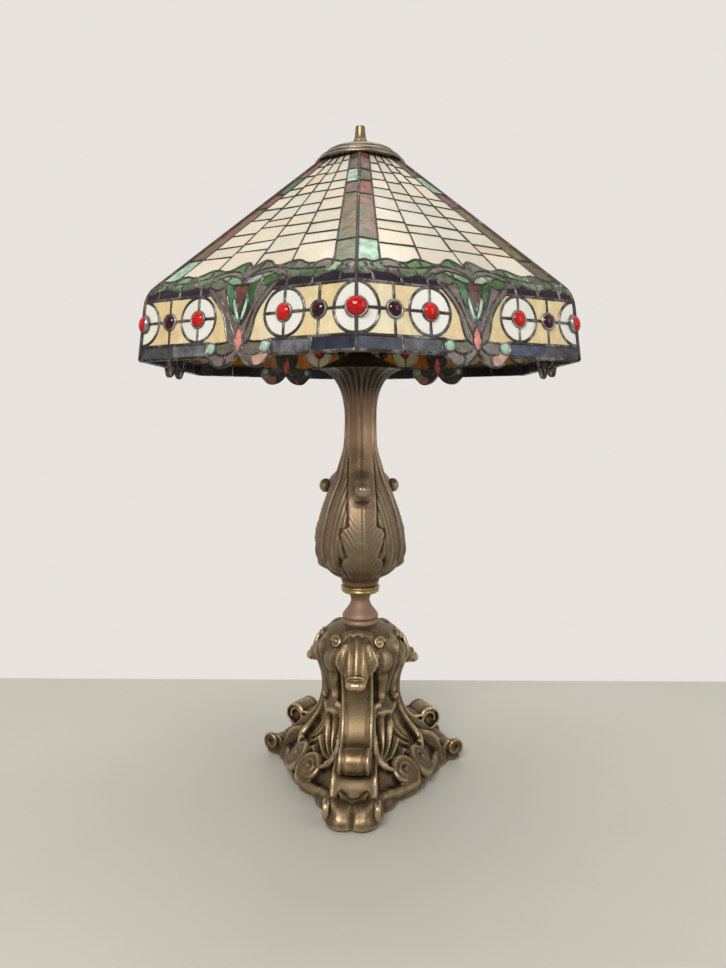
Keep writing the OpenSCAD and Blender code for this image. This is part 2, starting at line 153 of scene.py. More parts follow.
def tapered(points, ups, width, height, sides=10):
    """A rounded bar whose half width and height follow width(t) and height(t)."""

    def section(i, side, up):
        t = i / (len(points) - 1)
        turns = [2 * math.pi * (j + 0.5) / sides for j in range(sides)]
        return [(side * (width(t) * math.cos(q)), up * (height(t) * math.sin(q))) for q in turns]

    return bar(points, ups, section)


def lengths(line):
    """The distance along the line to each of its points."""
    out = [0.0]
    for a, b in zip(line, line[1:]):
        out.append(out[-1] + math.dist(a, b))
    return out


def resample(line, step):
    """The line with points no further apart than step."""
    out = [tuple(line[0])]
    for a, b in zip(line, line[1:]):
        d = math.dist(a, b)
        n = max(1, math.ceil(d / step))
        out.extend(tuple(a[i] + (b[i] - a[i]) * k / n for i in range(len(a))) for k in range(1, n + 1))
    return out


def segment(values, x):
    """Which stretch of the rising values x falls in."""
    i = 0
    while i < len(values) - 2 and x > values[i + 1]:
        i += 1
    return i


def table_at(table, x):
    """Linear between (x, value) pairs."""
    for (x0, y0), (x1, y1) in zip(table, table[1:]):
        if x <= x1:
            return y0 + (y1 - y0) * max(0, min(1, (x - x0) / (x1 - x0)))
    return table[-1][1]


# ---- the shade's surface -----------------------------------------------

# Corner radius and height down a hip, from rim to crown, with a rounded shoulder.
HIP = [(240, 448), (235.2, 497), (234.2, 503.5), (232, 509.5), (228.3, 515.5), (222, 521.3), (48, 671.3)]
HIP_APOTHEM = [(r * COS30, z) for r, z in HIP]
HIP_S = lengths(HIP_APOTHEM)
CROWN_S = HIP_S[-1]
GLASS = 2.6


def hip_at(s):
    """(corner radius, height, outward normal across the face) at s up the slope."""
    i = segment(HIP_S, s)
    t = (s - HIP_S[i]) / (HIP_S[i + 1] - HIP_S[i])
    r = HIP[i][0] + (HIP[i + 1][0] - HIP[i][0]) * t
    z = HIP[i][1] + (HIP[i + 1][1] - HIP[i][1]) * t
    (a0, z0), (a1, z1) = HIP_APOTHEM[i], HIP_APOTHEM[i + 1]
    d = math.hypot(a1 - a0, z1 - z0)
    return r, z, ((z1 - z0) / d, (a0 - a1) / d)


def half(s):
    return hip_at(s)[0] / 2


def face_angle(k):
    return math.radians(30 + 60 * k)


def on_face(k, u, s, w=0.0):
    """The point at u across face k, s up its slope and w out of it, with the face's outward direction."""
    r, z, (na, nz) = hip_at(s)
    x, y = u, -(r * COS30 + w * na)
    ca, sa = math.cos(face_angle(k)), math.sin(face_angle(k))
    return (x * ca - y * sa, x * sa + y * ca, z + w * nz), (na * sa, -na * ca, nz)


# ---- the shade's lead lines, on one face, in millimetres ---------------

STRIP_S = 12.5          # top of the slate strip at the rim
BORDER_S = 56.0         # foot of the dark strip at the shoulder
ROW_S = 34.5            # line of medallions and jewels
MEDALLION_U, MEDALLION_R = 48.0, 20.6
CORNER_R = 21.0
RED_R, CORNER_RED_R = 7.3, 8.2
DARK_U, DARK_R = 83.0, 6.5
MINT_U, MINT_S, MINT_R = 30.0, 6.8, 4.8
CONE_FOOT = 101.0       # where the corner strips start
MINT_END = 112.0        # top of a corner strip's lowest piece
TILE_FOOT = 90.0        # where the rows of tiles are counted from


def arc(cu, cs, r, start, stop, steps=28):
    return [(cu + r * math.cos(math.radians(start + (stop - start) * i / steps)),
             cs + r * math.sin(math.radians(start + (stop - start) * i / steps))) for i in range(steps + 1)]


def both(*lines):
    """Each line and its mirror image."""
    return [ln for line in lines for ln in (line, [(-u, s) for u, s in line])]


# Right-hand half of the flower. Its petals hang below the rim.
PETAL_EDGE = spline([(0, 3), (3.5, -1.5), (9, -6.5), (17, -9.5), (25, -9), (31, -4), (35.5, 1), (37, 6),
                     (35, 12.5)])
FLOWER = both(
    spline([(0, 27), (-4.2, 18), (-4.4, 10), (-1.5, 4.5), (0, 3)]),
    [(0, 34.5), (-3.2, 45), (-9.6, 63)],
    spline([(0, 28), (-4.4, 33), (-7.8, 41), (-8.8, 48), (-6.2, 54)]),
    spline([(0, 26.2), (5, 31), (11.8, 43), (16, 54), (19.4, 64), (20.6, 69)]),
    spline([(3.7, 15), (8.5, 25), (11.8, 33), (17, 43), (25.5, 54), (33, 61.5), (38.6, 64)]),
    spline([(3.0, 8.4), (11, 13), (14.8, 22), (17, 32), (21.5, 41), (28.5, 49.5), (34.5, 56), (38.2, 64),
            (40, 71)]),
    spline([(3.0, 8.2), (8, 3), (15, 0.5), (22, 1.5), (26.4, 5)]),
    spline([(9.2, 12.9), (17, 11.5), (23, 11.4), (28, 10.8)]),
    [(15, 1.0), (14, -4), (17, -10)],
    [(36, 12.5), (30, 11.0)],
    PETAL_EDGE,
) + [[(-9.8, 63), (9.8, 63)], [(0, 25.6), (0, 35)]]
# Leaves over the shoulder, fanned about the flower, and the ones that run on to the corners.
FAN = both(
    spline([(9.4, 62.7), (16, 66), (24, 70), (30, 74), (36, 70), (40, 70.6), (47.4, 65.6)]),
    spline([(0, 63.5), (5, 70), (14, 74.5), (24, 76), (31, 73.2)]),
    spline([(1.8, 66), (4, 74), (12, 80.5), (22, 83), (32, 81), (40, 76.5), (46, 70), (48, 65)]),
    spline([(3.2, 71.5), (7, 80), (9, 88), (9.6, 95.6)]),
    spline([(18.6, 64.2), (26, 60), (34.4, 62.2)]),
    [(32, 85.2), (31, 83), (32.5, 80)],
    [(0, 62.5), (0, 70)],
    [(20, 68), (18, 72), (20, 76.5)],
)
LEAF_TOP_LINE = spline([(0, 84), (4, 90), (10, 95), (17, 92.5), (24, 86), (32, 84.5), (41, 88.5), (50, 88.5),
                        (60, 82.5), (69, 81.5), (78, 84.5), (87, 82), (95, 78.5), (103, 80), (111, 76.5),
                        (121, 77.5)])
BORDER_TOP_LINE = spline([(38, 63.5), (47, 63.6), (56, 66.6), (66, 64), (76, 62.6), (86, 65.6), (96, 66.4),
                          (106, 63.4), (119, 62.6)])
OVER = 0.5              # how far a lead runs past the one it meets
TUCK = 1.5              # how far the tiles' upright leads start below the leaves' top
ROWS, COLUMNS = 10, 4   # of tiles on a face


def leaf_top(u):
    return table_at(LEAF_TOP_LINE, abs(u))


def leaf_seam(top_u, middle, foot_u):
    """A lead between two leaves, from the leaves' top line down to the shoulder strip."""
    return spline([(top_u, leaf_top(top_u) + OVER)] + middle + [(foot_u, table_at(BORDER_TOP_LINE, foot_u) - OVER)])


LEAVES = both(
    spline([(32, 84.2), (38, 80), (46, 77.4), (55, 75.4), (64, 74), (74, 73), (81, 73.4), (87.4, 72)]),
    spline([(49, leaf_top(49) + OVER), (46, 83), (48.6, 76)]),
    spline([(60.5, leaf_top(60.5) + OVER), (63.4, 79), (60, 74)]),
    spline([(72, leaf_top(72) + OVER), (69.4, 77), (72.6, 72.4)]),
    spline([(58.6, 75.6), (56, 71), (59.6, 64.4)]),
    spline([(72, 73.8), (74.6, 68), (71.4, 62.4)]),
    leaf_seam(84.6, [(88, 76), (85, 70)], 88),
    leaf_seam(95, [(98.4, 74), (95.6, 70)], 98.6),
    leaf_seam(106, [(103.4, 73), (106.8, 69)], 104.6),
    leaf_seam(113.4, [(112.2, 71)], 114),
)


def skirt_lines():
    edge = half(ROW_S)
    return both(
        [(34.6, STRIP_S), (edge + 6, STRIP_S)],
        [(33.4, BORDER_S), (edge + 6, BORDER_S)],
        [(33.0, 0), (half(0), 0)],
        [(MEDALLION_U, ROW_S + RED_R - OVER), (MEDALLION_U, BORDER_S + 14)],
        [(MEDALLION_U, ROW_S - RED_R + OVER), (MEDALLION_U, STRIP_S - OVER)],
        [(MEDALLION_U + RED_R - OVER, ROW_S), (DARK_U - DARK_R + OVER, ROW_S)],
        [(MEDALLION_U - RED_R + OVER, ROW_S), (MEDALLION_U - MEDALLION_R - OVER, ROW_S)],
        [(DARK_U + DARK_R - OVER, ROW_S), (edge - CORNER_RED_R + OVER, ROW_S)],
        [(DARK_U, ROW_S + DARK_R - OVER), (DARK_U, BORDER_S + OVER)],
        [(DARK_U, ROW_S - DARK_R + OVER), (DARK_U, STRIP_S - OVER)],
        arc(MEDALLION_U, ROW_S, MEDALLION_R, 0, 360),
        arc(edge, ROW_S, CORNER_R, 80, 280),
        [(76, -OVER), (76.5, STRIP_S + OVER)],
        [(74, BORDER_S - OVER), (74, 64.0)],
        [(101, BORDER_S - OVER), (101, 66.5)],
    )


def jewel_rings():
    """Outlines of the jewels' holes."""
    return both(
        arc(MEDALLION_U, ROW_S, RED_R, 0, 360, 20),
        arc(DARK_U, ROW_S, DARK_R, 0, 360, 20),
        arc(half(ROW_S), ROW_S, CORNER_RED_R, 80, 280, 14),
        arc(MINT_U, MINT_S, MINT_R, 0, 360, 16),
    )


def strip_edge(s):
    """Where the corner strip, which narrows upwards, meets the tiles."""
    return half(s) - (21 - 10 * (s - CONE_FOOT) / (CROWN_S - CONE_FOOT))


def cone_lines(rng):
    """Corner strips and the cream tiles between them."""
    top = CROWN_S
    strip = strip_edge
    low = leaf_top(strip(79)) - TUCK
    lines = both([(strip(low), low), (strip(top), top)], [(half(top), top), (0, top)])
    spans = []
    for c in range(1, COLUMNS):
        t = -1 + 2 * c / COLUMNS + rng.uniform(-0.02, 0.02)
        low = leaf_top(t * strip(TILE_FOOT)) - TUCK
        lines.append([(t * strip(low), low), (t * strip(top), top)])
        spans.append(t)
    spans = [-1] + spans + [1]
    for c in range(COLUMNS):
        for r in range(1, ROWS):
            s = TILE_FOOT + (top - TILE_FOOT) * (r + rng.uniform(-0.20, 0.20) + 0.10) / ROWS
            tilt = rng.uniform(-0.7, 0.7)
            lines.append([(spans[c] * strip(s - tilt) - OVER, s - tilt),
                          (spans[c + 1] * strip(s + tilt) + OVER, s + tilt)])
    for side in (-1, 1):
        for share, _, _ in STRIP_TINTS[1:]:
            if share > 0.3:
                s = CONE_FOOT + (top - CONE_FOOT) * (share + rng.uniform(-0.015, 0.015))
            else:
                s = MINT_END + rng.uniform(-2, 2)
            tilt = rng.uniform(-2.5, 2.5)
            lines.append([(side * (strip(s) - OVER), s), (side * (half(s + tilt) + OVER), s + tilt)])
    return lines


# ---- cutting a face into pieces ----------------------------------------


def clip(line):
    """The line kept to the face, a hair past its two hips."""
    out = []
    for u, s in line:
        reach = half(max(s, 0)) + 0.15
        out.append((max(-reach, min(reach, u)), min(s, CROWN_S)))
    return out


def edges_of(face):
    return list(zip(face, list(face[1:]) + [face[0]]))


def cut(lines, extra_levels):
    """Cells enclosed by the lines: each is (triangles, boundary edges, centre, area). Also the points."""
    points, edges, lead = [], [], []

    def put(line, is_lead):
        base = len(points)
        points.extend(Vector(p) for p in line)
        for i in range(len(line) - 1):
            edges.append((base + i, base + i + 1))
            lead.append(is_lead)

    for line in lines:
        put(line, True)
    for s in extra_levels:
        put([(-half(s), s), (half(s), s)], False)
    out_v, out_e, out_f, _, from_edge, _ = delaunay_2d_cdt(points, edges, [], 0, 0.02, True)
    wall = set()
    for e, sources in zip(out_e, from_edge):
        if any(q < len(lead) and lead[q] for q in sources):
            wall.add(frozenset(e))
    by_edge = {}
    for fi, f in enumerate(out_f):
        for a, b in edges_of(f):
            by_edge.setdefault(frozenset((a, b)), []).append(fi)
    group = [-1] * len(out_f)
    cells = []
    hull = {key for key, sharing in by_edge.items() if len(sharing) == 1 and key not in wall}
    for seed in range(len(out_f)):
        if group[seed] >= 0:
            continue
        stack, members = [seed], []
        group[seed] = len(cells)
        while stack:
            fi = stack.pop()
            members.append(fi)
            for key in map(frozenset, edges_of(out_f[fi])):
                for other in by_edge[key] if key not in wall else ():
                    if group[other] < 0:
                        group[other] = len(cells)
                        stack.append(other)
        cells.append(members)
    result = []
    for members in cells:
        area, cx, cy, count = 0.0, 0.0, 0.0, {}
        for fi in members:
            a, b, c = (out_v[i] for i in out_f[fi])
            t = abs((b - a).cross(c - a)) / 2
            area += t
            cx += t * (a.x + b.x + c.x) / 3
            cy += t * (a.y + b.y + c.y) / 3
            for edge in edges_of(out_f[fi]):
                count.setdefault(frozenset(edge), []).append(edge)
        border = [found[0] for found in count.values() if len(found) == 1]
        if area > 0.5 and not any(key in hull for key in count):
            result.append(([out_f[i] for i in members], border, (cx / area, cy / area), area))
    return out_v, result


# ---- glass colours -----------------------------------------------------

CREAMS = [(0.72, 0.665, 0.54), (0.74, 0.68, 0.56), (0.71, 0.675, 0.56), (0.73, 0.655, 0.51), (0.70, 0.68, 0.58),
          (0.76, 0.71, 0.60)]
AMBER_TILE = (0.76, 0.63, 0.45)
AMBERS = [(0.80, 0.56, 0.245), (0.84, 0.63, 0.31), (0.78, 0.58, 0.29), (0.86, 0.70, 0.39)]
WHITES = [(0.95, 0.94, 0.89), (0.93, 0.93, 0.85), (0.96, 0.95, 0.91)]
SLATES = [(0.075, 0.078, 0.088), (0.10, 0.10, 0.11), (0.055, 0.058, 0.07), (0.035, 0.042, 0.07)]
NIGHTS = [(0.008, 0.008, 0.014), (0.012, 0.008, 0.010), (0.006, 0.010, 0.022)]
RUSSETS = [(0.17, 0.065, 0.04), (0.13, 0.06, 0.04), (0.22, 0.05, 0.03), (0.11, 0.055, 0.045), (0.15, 0.085, 0.065)]
GREENS = [(0.055, 0.155, 0.03), (0.04, 0.11, 0.03), (0.10, 0.20, 0.06), (0.065, 0.125, 0.045)]
OLIVES = [(0.10, 0.105, 0.055), (0.08, 0.085, 0.05), (0.13, 0.165, 0.075)]
MAUVES = [(0.155, 0.115, 0.105), (0.19, 0.15, 0.14), (0.12, 0.09, 0.08)]
MINT = (0.45, 0.68, 0.53)
PALE_GREEN = (0.21, 0.34, 0.19)
PINK = (0.66, 0.24, 0.20)
BROWN = (0.13, 0.05, 0.035)

# Corner strips, from the leaves up: where a piece starts, as a share of the strip, then the tint pairs it may have
# on the left-hand edge of a face and on the right-hand edge.
STRIP_TINTS = [
    (0.00, [(MINT, (0.30, 0.50, 0.36))], [(RUSSETS[4], GREENS[2]), (RUSSETS[1], OLIVES[0])]),
    (0.25, [((0.30, 0.075, 0.045), GREENS[3]), ((0.24, 0.05, 0.03), OLIVES[2])],
     [(RUSSETS[2], GREENS[2]), (RUSSETS[0], OLIVES[2])]),
    (0.52, [(RUSSETS[2], RUSSETS[3]), ((0.32, 0.06, 0.04), RUSSETS[1])],
     [(RUSSETS[0], RUSSETS[4]), (RUSSETS[3], (0.24, 0.08, 0.05))]),
    (0.66, [(GREENS[0], RUSSETS[3]), (GREENS[3], GREENS[1])], [((0.32, 0.44, 0.36), MINT), (GREENS[2], MINT)]),
    (0.80, [(RUSSETS[1], (0.26, 0.09, 0.06)), (RUSSETS[0], OLIVES[0])],
     [(RUSSETS[0], RUSSETS[4]), (RUSSETS[1], OLIVES[0])]),
]

# Where each colour of the flower and of the leaves around it lies: a point on the right-hand side of the face,
# then the tint on the right and the tint on the left.
FLOWER_TINTS = [
    ((0, 50), BROWN, BROWN),
    ((0, 12), PINK, PINK),
    ((3.6, 37), MINT, MINT),
    ((12, 56), GREENS[1], (0.07, 0.20, 0.09)),
    ((9, 34), MAUVES[1], MAUVES[0]),
    ((22, 56), OLIVES[2], GREENS[0]),
    ((12.2, 24), MAUVES[1], MAUVES[0]),
    ((30, 67), GREENS[1], GREENS[2]),
    ((15, 64.8), MAUVES[0], GREENS[0]),
    ((12, 69), (0.30, 0.36, 0.28), PALE_GREEN),
    ((25, 73), GREENS[2], PALE_GREEN),
    ((8, 6), MAUVES[1], OLIVES[2]),
    ((16, 6), MAUVES[0], OLIVES[2]),
    ((8, -3), MAUVES[2], MAUVES[1]),
    ((24, -5), (0.52, 0.33, 0.25), MAUVES[1]),
    ((20, 79), OLIVES[2], MAUVES[0]),
    ((2, 80), OLIVES[1], OLIVES[1]),
    ((16, 89), GREENS[2], GREENS[0]),
    ((0.8, 70), MAUVES[0], MAUVES[0]),
]


def inside(point, tris, pts):
    for t in tris:
        a, b, c = (pts[i] for i in t)
        d = [(q.x - p.x) * (point[1] - p.y) - (q.y - p.y) * (point[0] - p.x) for p, q in ((a, b), (b, c), (c, a))]
        if min(d) >= 0 or max(d) <= 0:
            return True
    return False


def second_tint(tint):
    """What runs through a tint: a lighter mauve through mauve, mauve through the duller greens, else more light."""
    if tint in MAUVES:
        return (0.24, 0.19, 0.165)
    if tint in GREENS[2:] + OLIVES:
        return MAUVES[1]
    return tuple(c * 1.5 for c in tint)


def kind_of(centre, area, tris, pts, rng):
    """Which glass a cell is cut from, with its two tints."""
    u, s = centre
    side = abs(u)
    edge = half(s) if s > 0 else half(0)
    for (fu, fs), right, left in FLOWER_TINTS:
        if inside((fu, fs), tris, pts):
            return "flower", right, second_tint(right)
        if inside((-fu, fs), tris, pts):
            return "flower", left, second_tint(left)
    for ju, js, jr in ((MEDALLION_U, ROW_S, RED_R), (DARK_U, ROW_S, DARK_R), (edge, ROW_S, CORNER_RED_R),
                       (MINT_U, MINT_S, MINT_R)):
        away = math.dist((side, s), (ju, js))
        if away < jr * 0.8 or (ju == edge and away < jr and area < 130):
            return None, None, None
    if s < STRIP_S and side > 30:
        t = rng.choice(SLATES)
        k = rng.choice([0.35, 0.5, 0.7, 1.9])
        return "slate", t, tuple(c * k for c in t)
    if s < BORDER_S:
        for mu, mr in ((MEDALLION_U, MEDALLION_R), (half(ROW_S), CORNER_R)):
            if math.dist((side, s), (mu, ROW_S)) < mr:
                t = rng.choice(WHITES)
                return "white", t, tuple(c * 0.93 for c in t)
        t = rng.choice(AMBERS)
        return "amber", t, rng.choice([(0.90, 0.80, 0.50), (0.88, 0.74, 0.42), (0.92, 0.86, 0.60)])
    if s < 68 and side > 36:
        t = rng.choice(NIGHTS)
        return "night", t, (0.035, 0.022, 0.030)
    if s < leaf_top(u):
        t = rng.choice(GREENS + GREENS + GREENS + OLIVES + MAUVES)
        return "leaf", t, tuple(c * 1.35 for c in rng.choice([t, t, t, PALE_GREEN, OLIVES[0]]))
    if side > strip_edge(s) - 1.5:
        share = (s - CONE_FOOT) / (CROWN_S - CONE_FOOT)
        row = [r for r in STRIP_TINTS if r[0] <= share and (r[0] != 0.25 or s > MINT_END)] or STRIP_TINTS[:1]
        t, second = rng.choice(row[-1][1 if u < 0 else 2])
        return "russet", t, second
    t = AMBER_TILE if rng.random() < 0.03 else rng.choice(CREAMS)
    k = rng.choice([0.90, 0.95, 1.05])
    return "cream", t, tuple(c * k for c in t)


GLASS_KINDS = {
    "cream": ("cream_glass", "cream_glass"),
    "russet": ("corner_strip_glass", "russet_glass"),
    "leaf": ("leaf_glass", "leaf_glass"),
    "night": ("shoulder_glass", "night_glass"),
    "amber": ("skirt_glass", "amber_glass"),
    "white": ("medallion_glass", "white_glass"),
    "slate": ("rim_glass", "slate_glass"),
    "flower": ("iris_glass", "flower_glass"),
}


def add_piece(heap, k, tris, border, pts, tint, tint2, rng):
    """One piece of glass: its outer and inner faces and its edges, set a little out of true."""
    used = sorted({i for t in tris for i in t})
    index = {p: n for n, p in enumerate(used)}
    cu = sum(pts[i].x for i in used) / len(used)
    cs = sum(pts[i].y for i in used) / len(used)
    tip_u, tip_s, lift = rng.uniform(-0.012, 0.012), rng.uniform(-0.012, 0.012), rng.uniform(-0.15, 0.25)
    verts = []
    for depth in (0, -GLASS):
        for i in used:
            u, s = pts[i].x, pts[i].y
            w = lift + tip_u * (u - cu) + tip_s * (s - cs) + depth
            verts.append(on_face(k, u, s, w)[0])
    n = len(used)
    faces = []
    for t in tris:
        a, b, c = (pts[i] for i in t)
        t = t if (b - a).cross(c - a) > 0 else [t[0], t[2], t[1]]
        faces.append(tuple(index[i] for i in t))
        faces.append(tuple(n + index[i] for i in reversed(t)))
    for p, q in border:
        faces.append((index[p], index[q], n + index[q], n + index[p]))
    heap.add(verts, faces, tint, tint2, [0.0] * n + [1.0] * n)


def half_width_of(line, s_mid):
    if s_mid > 99:
        return 0.95
    if s_mid > 64:
        return 1.2
    return 1.15 if max(abs(u) for u, _ in line) < 42 and len(line) > 5 else 1.45


def on_hip(point):
    u, s = point
    return abs(abs(u) - half(max(s, 0))) < 0.01


def runs_along_hip(line):
    """Whether a lead only follows the face's edge, which the hip's came covers."""
    beyond = max(abs(u) - half(max(s, 0)) for u, s in (line[0], line[-1]))
    return beyond > -0.01 and len(line) > 4 and on_hip(line[2])


glass = {name: Heap() for name in GLASS_KINDS}
solder = Heap()
BEND_LEVELS = HIP_S[1:-1]
for k in range(FACES):
    rng = random.Random(FACE_SEED + k)
    edges = both([(half(s), s) for s in HIP_S]) + [[(-half(0), 0), (-35.5, 0)]]
    lines = edges + FLOWER + FAN + LEAVES + both(LEAF_TOP_LINE, BORDER_TOP_LINE)
    lines += skirt_lines() + jewel_rings() + cone_lines(rng)
    clipped = [clip(line) for line in lines]
    pts, cells = cut(clipped, BEND_LEVELS)
    for tris, border, centre, area in cells:
        kind, tint, tint2 = kind_of(centre, area, tris, pts, rng)
        if kind:
            add_piece(glass[kind], k, tris, border, pts, tint, tint2, rng)
    for line in clipped:
        if runs_along_hip(line):
            continue
        fine = resample(line, 3.2)
        s_mid = fine[len(fine) // 2][1]
        placed, outward = zip(*(on_face(k, u, s) for u, s in fine))
        solder.add(*sweep(placed, outward, half_width_of(line, s_mid), 1.0, GLASS + 0.8, 0.10))
glass_objects = {name: heap.build(name + "_pieces", smooth=False) for name, heap in glass.items()}

# Cames down the six hips.
cames = Heap()
for k in range(FACES):
    spin = spin_z(math.radians(60 * k))
    line = resample([(0, -(r + 0.2), z) for r, z in HIP], 6)
    ups = []
    for i, p in enumerate(line):
        a, b = line[max(i - 1, 0)], line[min(i + 1, len(line) - 1)]
        d = Vector(b) - Vector(a)
        ups.append(Vector((1, 0, 0)).cross(d).normalized())
    ups = [u if u.y < 0 else -u for u in ups]
    v, f = sweep(line, ups, 1.55, 1.6, 3.0, 0.08)
    cames.add(moved(v, spin), f)
cames_obj = cames.build("hip_cames")
solder_obj = solder.build("solder_lines")


# ---- jewels ------------------------------------------------------------

JEWEL_TURNS = 28


def jewel_shape(r, rise, rings=7):
    """A pressed glass cabochon with a small flat foot."""
    slopes = [math.radians(90 * i / rings) for i in range(rings)]
    profile = [(r, -3.0)] + [(r * math.cos(a), rise * math.sin(a)) for a in slopes] + [(r * 0.05, rise)]
    return lathe(profile, JEWEL_TURNS)


def bezel_shape(r, w):
    profile = [(r - 0.5, -2.5), (r + w + 0.4, -2.5), (r + w, -0.2), (r + w * 0.8, 1.0), (r + w * 0.3, 1.5),
               (r - 0.3, 1.2), (r - 0.6, 0.3)]
    return lathe(profile, JEWEL_TURNS)


def face_matrix(k, u, s, w=0.6):
    p, n = on_face(k, u, s, w)
    z = Vector(n)
    x = Vector((math.cos(face_angle(k)), math.sin(face_angle(k)), 0))
    y = z.cross(x)
    m = Matrix((x, y, z)).transposed().to_4x4()
    m.translation = p
    return m


red, dark, mint, bezels = Heap(), Heap(), Heap(), Heap()


def set_stone(heap, matrix, r, rise, rim):
    """A jewel, its rise a share of its radius, and the solder rim that holds it."""
    for to, (verts, faces) in ((heap, jewel_shape(r, r * rise)), (bezels, bezel_shape(r, rim))):
        to.add(moved(verts, matrix), faces)


for k in range(FACES):
    for side in (-1, 1):
        for heap, u, s, r in ((red, MEDALLION_U, ROW_S, RED_R), (dark, DARK_U, ROW_S, DARK_R),
                              (mint, MINT_U, MINT_S, MINT_R)):
            set_stone(heap, face_matrix(k, side * u, s), r, 0.55, 1.9 if heap is dark else 1.1)
    r, z, _ = hip_at(ROW_S)
    lean = Matrix.Rotation(math.radians(90 - 5), 4, "X")
    m = spin_z(math.radians(60 * k)) @ Matrix.Translation((0, -(r - 0.6), z)) @ lean
    set_stone(red, m, CORNER_RED_R, 0.6, 1.3)
red_obj, dark_obj = red.build("red_jewel_domes"), dark.build("dark_jewel_domes")
mint_obj, bezel_obj = mint.build("mint_jewel_domes"), bezels.build("jewel_bezels")


# ---- materials ---------------------------------------------------------


class Nodes:
    """A material's node tree, with short calls to add and join nodes."""

    def __init__(self, name):
        self.material = bpy.data.materials.new(name)
        self.material.use_nodes = True
        self.tree = self.material.node_tree
        self.tree.nodes.clear()
        self.out = self.tree.nodes.new("ShaderNodeOutputMaterial")
        self.where = self.tree.nodes.new("ShaderNodeTexCoord").outputs["Object"]

    def add(self, kind, inputs=None, **settings):
        node = self.tree.nodes.new(kind)
        for key, value in settings.items():
            setattr(node, key, value)
        for key, value in (inputs or {}).items():
            if isinstance(value, bpy.types.NodeSocket):
                self.tree.links.new(value, node.inputs[key])
            else:
                node.inputs[key].default_value = value
        return node

    def attribute(self, name, output="Color"):
        return self.add("ShaderNodeAttribute", attribute_name=name).outputs[output]

    def noise(self, scale, detail=4.0, rough=0.55, distortion=0.0, vector=None):
        return self.add("ShaderNodeTexNoise", {"Vector": vector or self.where, "Scale": scale, "Detail": detail,
                                               "Roughness": rough, "Distortion": distortion}).outputs["Fac"]

    def ramp(self, value, *stops):
        node = self.add("ShaderNodeValToRGB", {"Fac": value})
        ramp = node.color_ramp
        for i, (at, colour) in enumerate(stops):
            stop = ramp.elements[i] if i < 2 else ramp.elements.new(at)
            stop.position = at
            stop.color = (*colour, 1) if len(colour) == 3 else colour
        return node.outputs["Color"]

    def grey(self, value, low, high, a=0.0, b=1.0):
        """value taken from low..high to a..b."""
        return self.add("ShaderNodeMapRange", {"Value": value, "From Min": low, "From Max": high, "To Min": a,
                                               "To Max": b}).outputs["Result"]

    def mix(self, fac, a, b, blend="MIX"):
        a, b = ((*c, 1) if isinstance(c, tuple) and len(c) == 3 else c for c in (a, b))
        return self.add("ShaderNodeMix", {0: fac, 6: a, 7: b}, data_type="RGBA", blend_type=blend).outputs[2]

    def math(self, operation, a, b=0.0):
        return self.add("ShaderNodeMath", {0: a, 1: b}, operation=operation).outputs[0]

    def bump(self, height, strength=0.2, distance=0.001):
        return self.add("ShaderNodeBump", {"Height": height, "Strength": strength,
                                           "Distance": distance}).outputs["Normal"]

    def gamma(self, colour, gamma):
        return self.add("ShaderNodeGamma", {"Color": colour, "Gamma": gamma}).outputs["Color"]

    def shaded(self, colour, value):
        """The colour made lighter or darker by a grey value."""
        grey = self.add("ShaderNodeCombineColor", {"Red": value, "Green": value, "Blue": value}).outputs["Color"]
        return self.mix(1.0, colour, grey, "MULTIPLY")

    def height(self):
        return self.add("ShaderNodeSeparateXYZ", {"Vector": self.where}).outputs["Z"]

    def principled(self, colour, rough, normal=None, **more):
        inputs = {"Base Color": colour, "Roughness": rough, **({"Normal": normal} if normal else {})}
        inputs.update({key.replace("_", " "): value for key, value in more.items()})
        return self.add("ShaderNodeBsdfPrincipled", inputs).outputs["BSDF"]

    def finish(self, shader):
        self.tree.links.new(shader, self.out.inputs["Surface"])
        return self.material

    def glassy(self, share, face, colour, normal):
        """The face's shader with a share of light carried through."""
        glow = self.add("ShaderNodeBsdfTranslucent", {"Color": colour, "Normal": normal}).outputs["BSDF"]
        return self.finish(self.add("ShaderNodeMixShader", {0: share, 1: face, 2: glow}).outputs["Shader"])


def opal_glass(name, streak=30.0, contrast=0.8, see_through=0.35, rough=0.16, ripple=0.25, mottle=0.0, inner=1.7,
               gloss=0.5):
    """Pressed art glass: two tints run together, a rippled glossy face, and some light carried through. The inside
    faces are painted darker and deeper in colour by inner, a painted shade for how the glass looks with light
    through it.
    """
    n = Nodes(name)
    stretch = n.add("ShaderNodeMapping", {"Vector": n.where, "Scale": (1.0, 1.0, 0.45),
                                          "Rotation": (0.3, 0.2, 0.5)}).outputs["Vector"]
    swirl = n.noise(streak, 5, 0.6, 1.6, stretch)
    tint = n.mix(n.grey(swirl, 0.5 - 0.25 / contrast, 0.5 + 0.25 / contrast), n.attribute("tint"),
                 n.attribute("tint2"))
    if mottle:
        tint = n.shaded(tint, n.grey(n.noise(130, 3, 0.6), 0.35, 0.68, 1 - mottle, 1 + mottle))
    tint = n.shaded(tint, n.grey(n.noise(18, 4, 0.6), 0.3, 0.75, 0.93, 1.04))
    # The inside faces are painted darker and deeper in colour: painted shade for how the glass looks with light
    # through it.
    tint = n.mix(n.attribute("within", "Fac"), tint, n.gamma(tint, inner))
    normal = n.bump(n.noise(95, 3, 0.5, 0.4), ripple, 0.0012)
    face = n.principled(tint, n.grey(n.noise(60, 2), 0.3, 0.7, rough * 0.7, rough * 1.5), normal, IOR=1.5,
                        Specular_IOR_Level=gloss)
    return n.glassy(see_through, face, n.gamma(tint, 1.25), normal)


def jewel_glass(name, colour, deep, see_through=0.25):
    n = Nodes(name)
    tint = n.mix(n.grey(n.noise(160, 3, 0.6, 0.8), 0.35, 0.7), colour, deep)
    normal = n.bump(n.noise(240, 2, 0.5), 0.12, 0.0006)
    face = n.principled(tint, 0.05, normal, IOR=1.48, Specular_IOR_Level=0.4)
    return n.glassy(see_through, face, tint, normal)


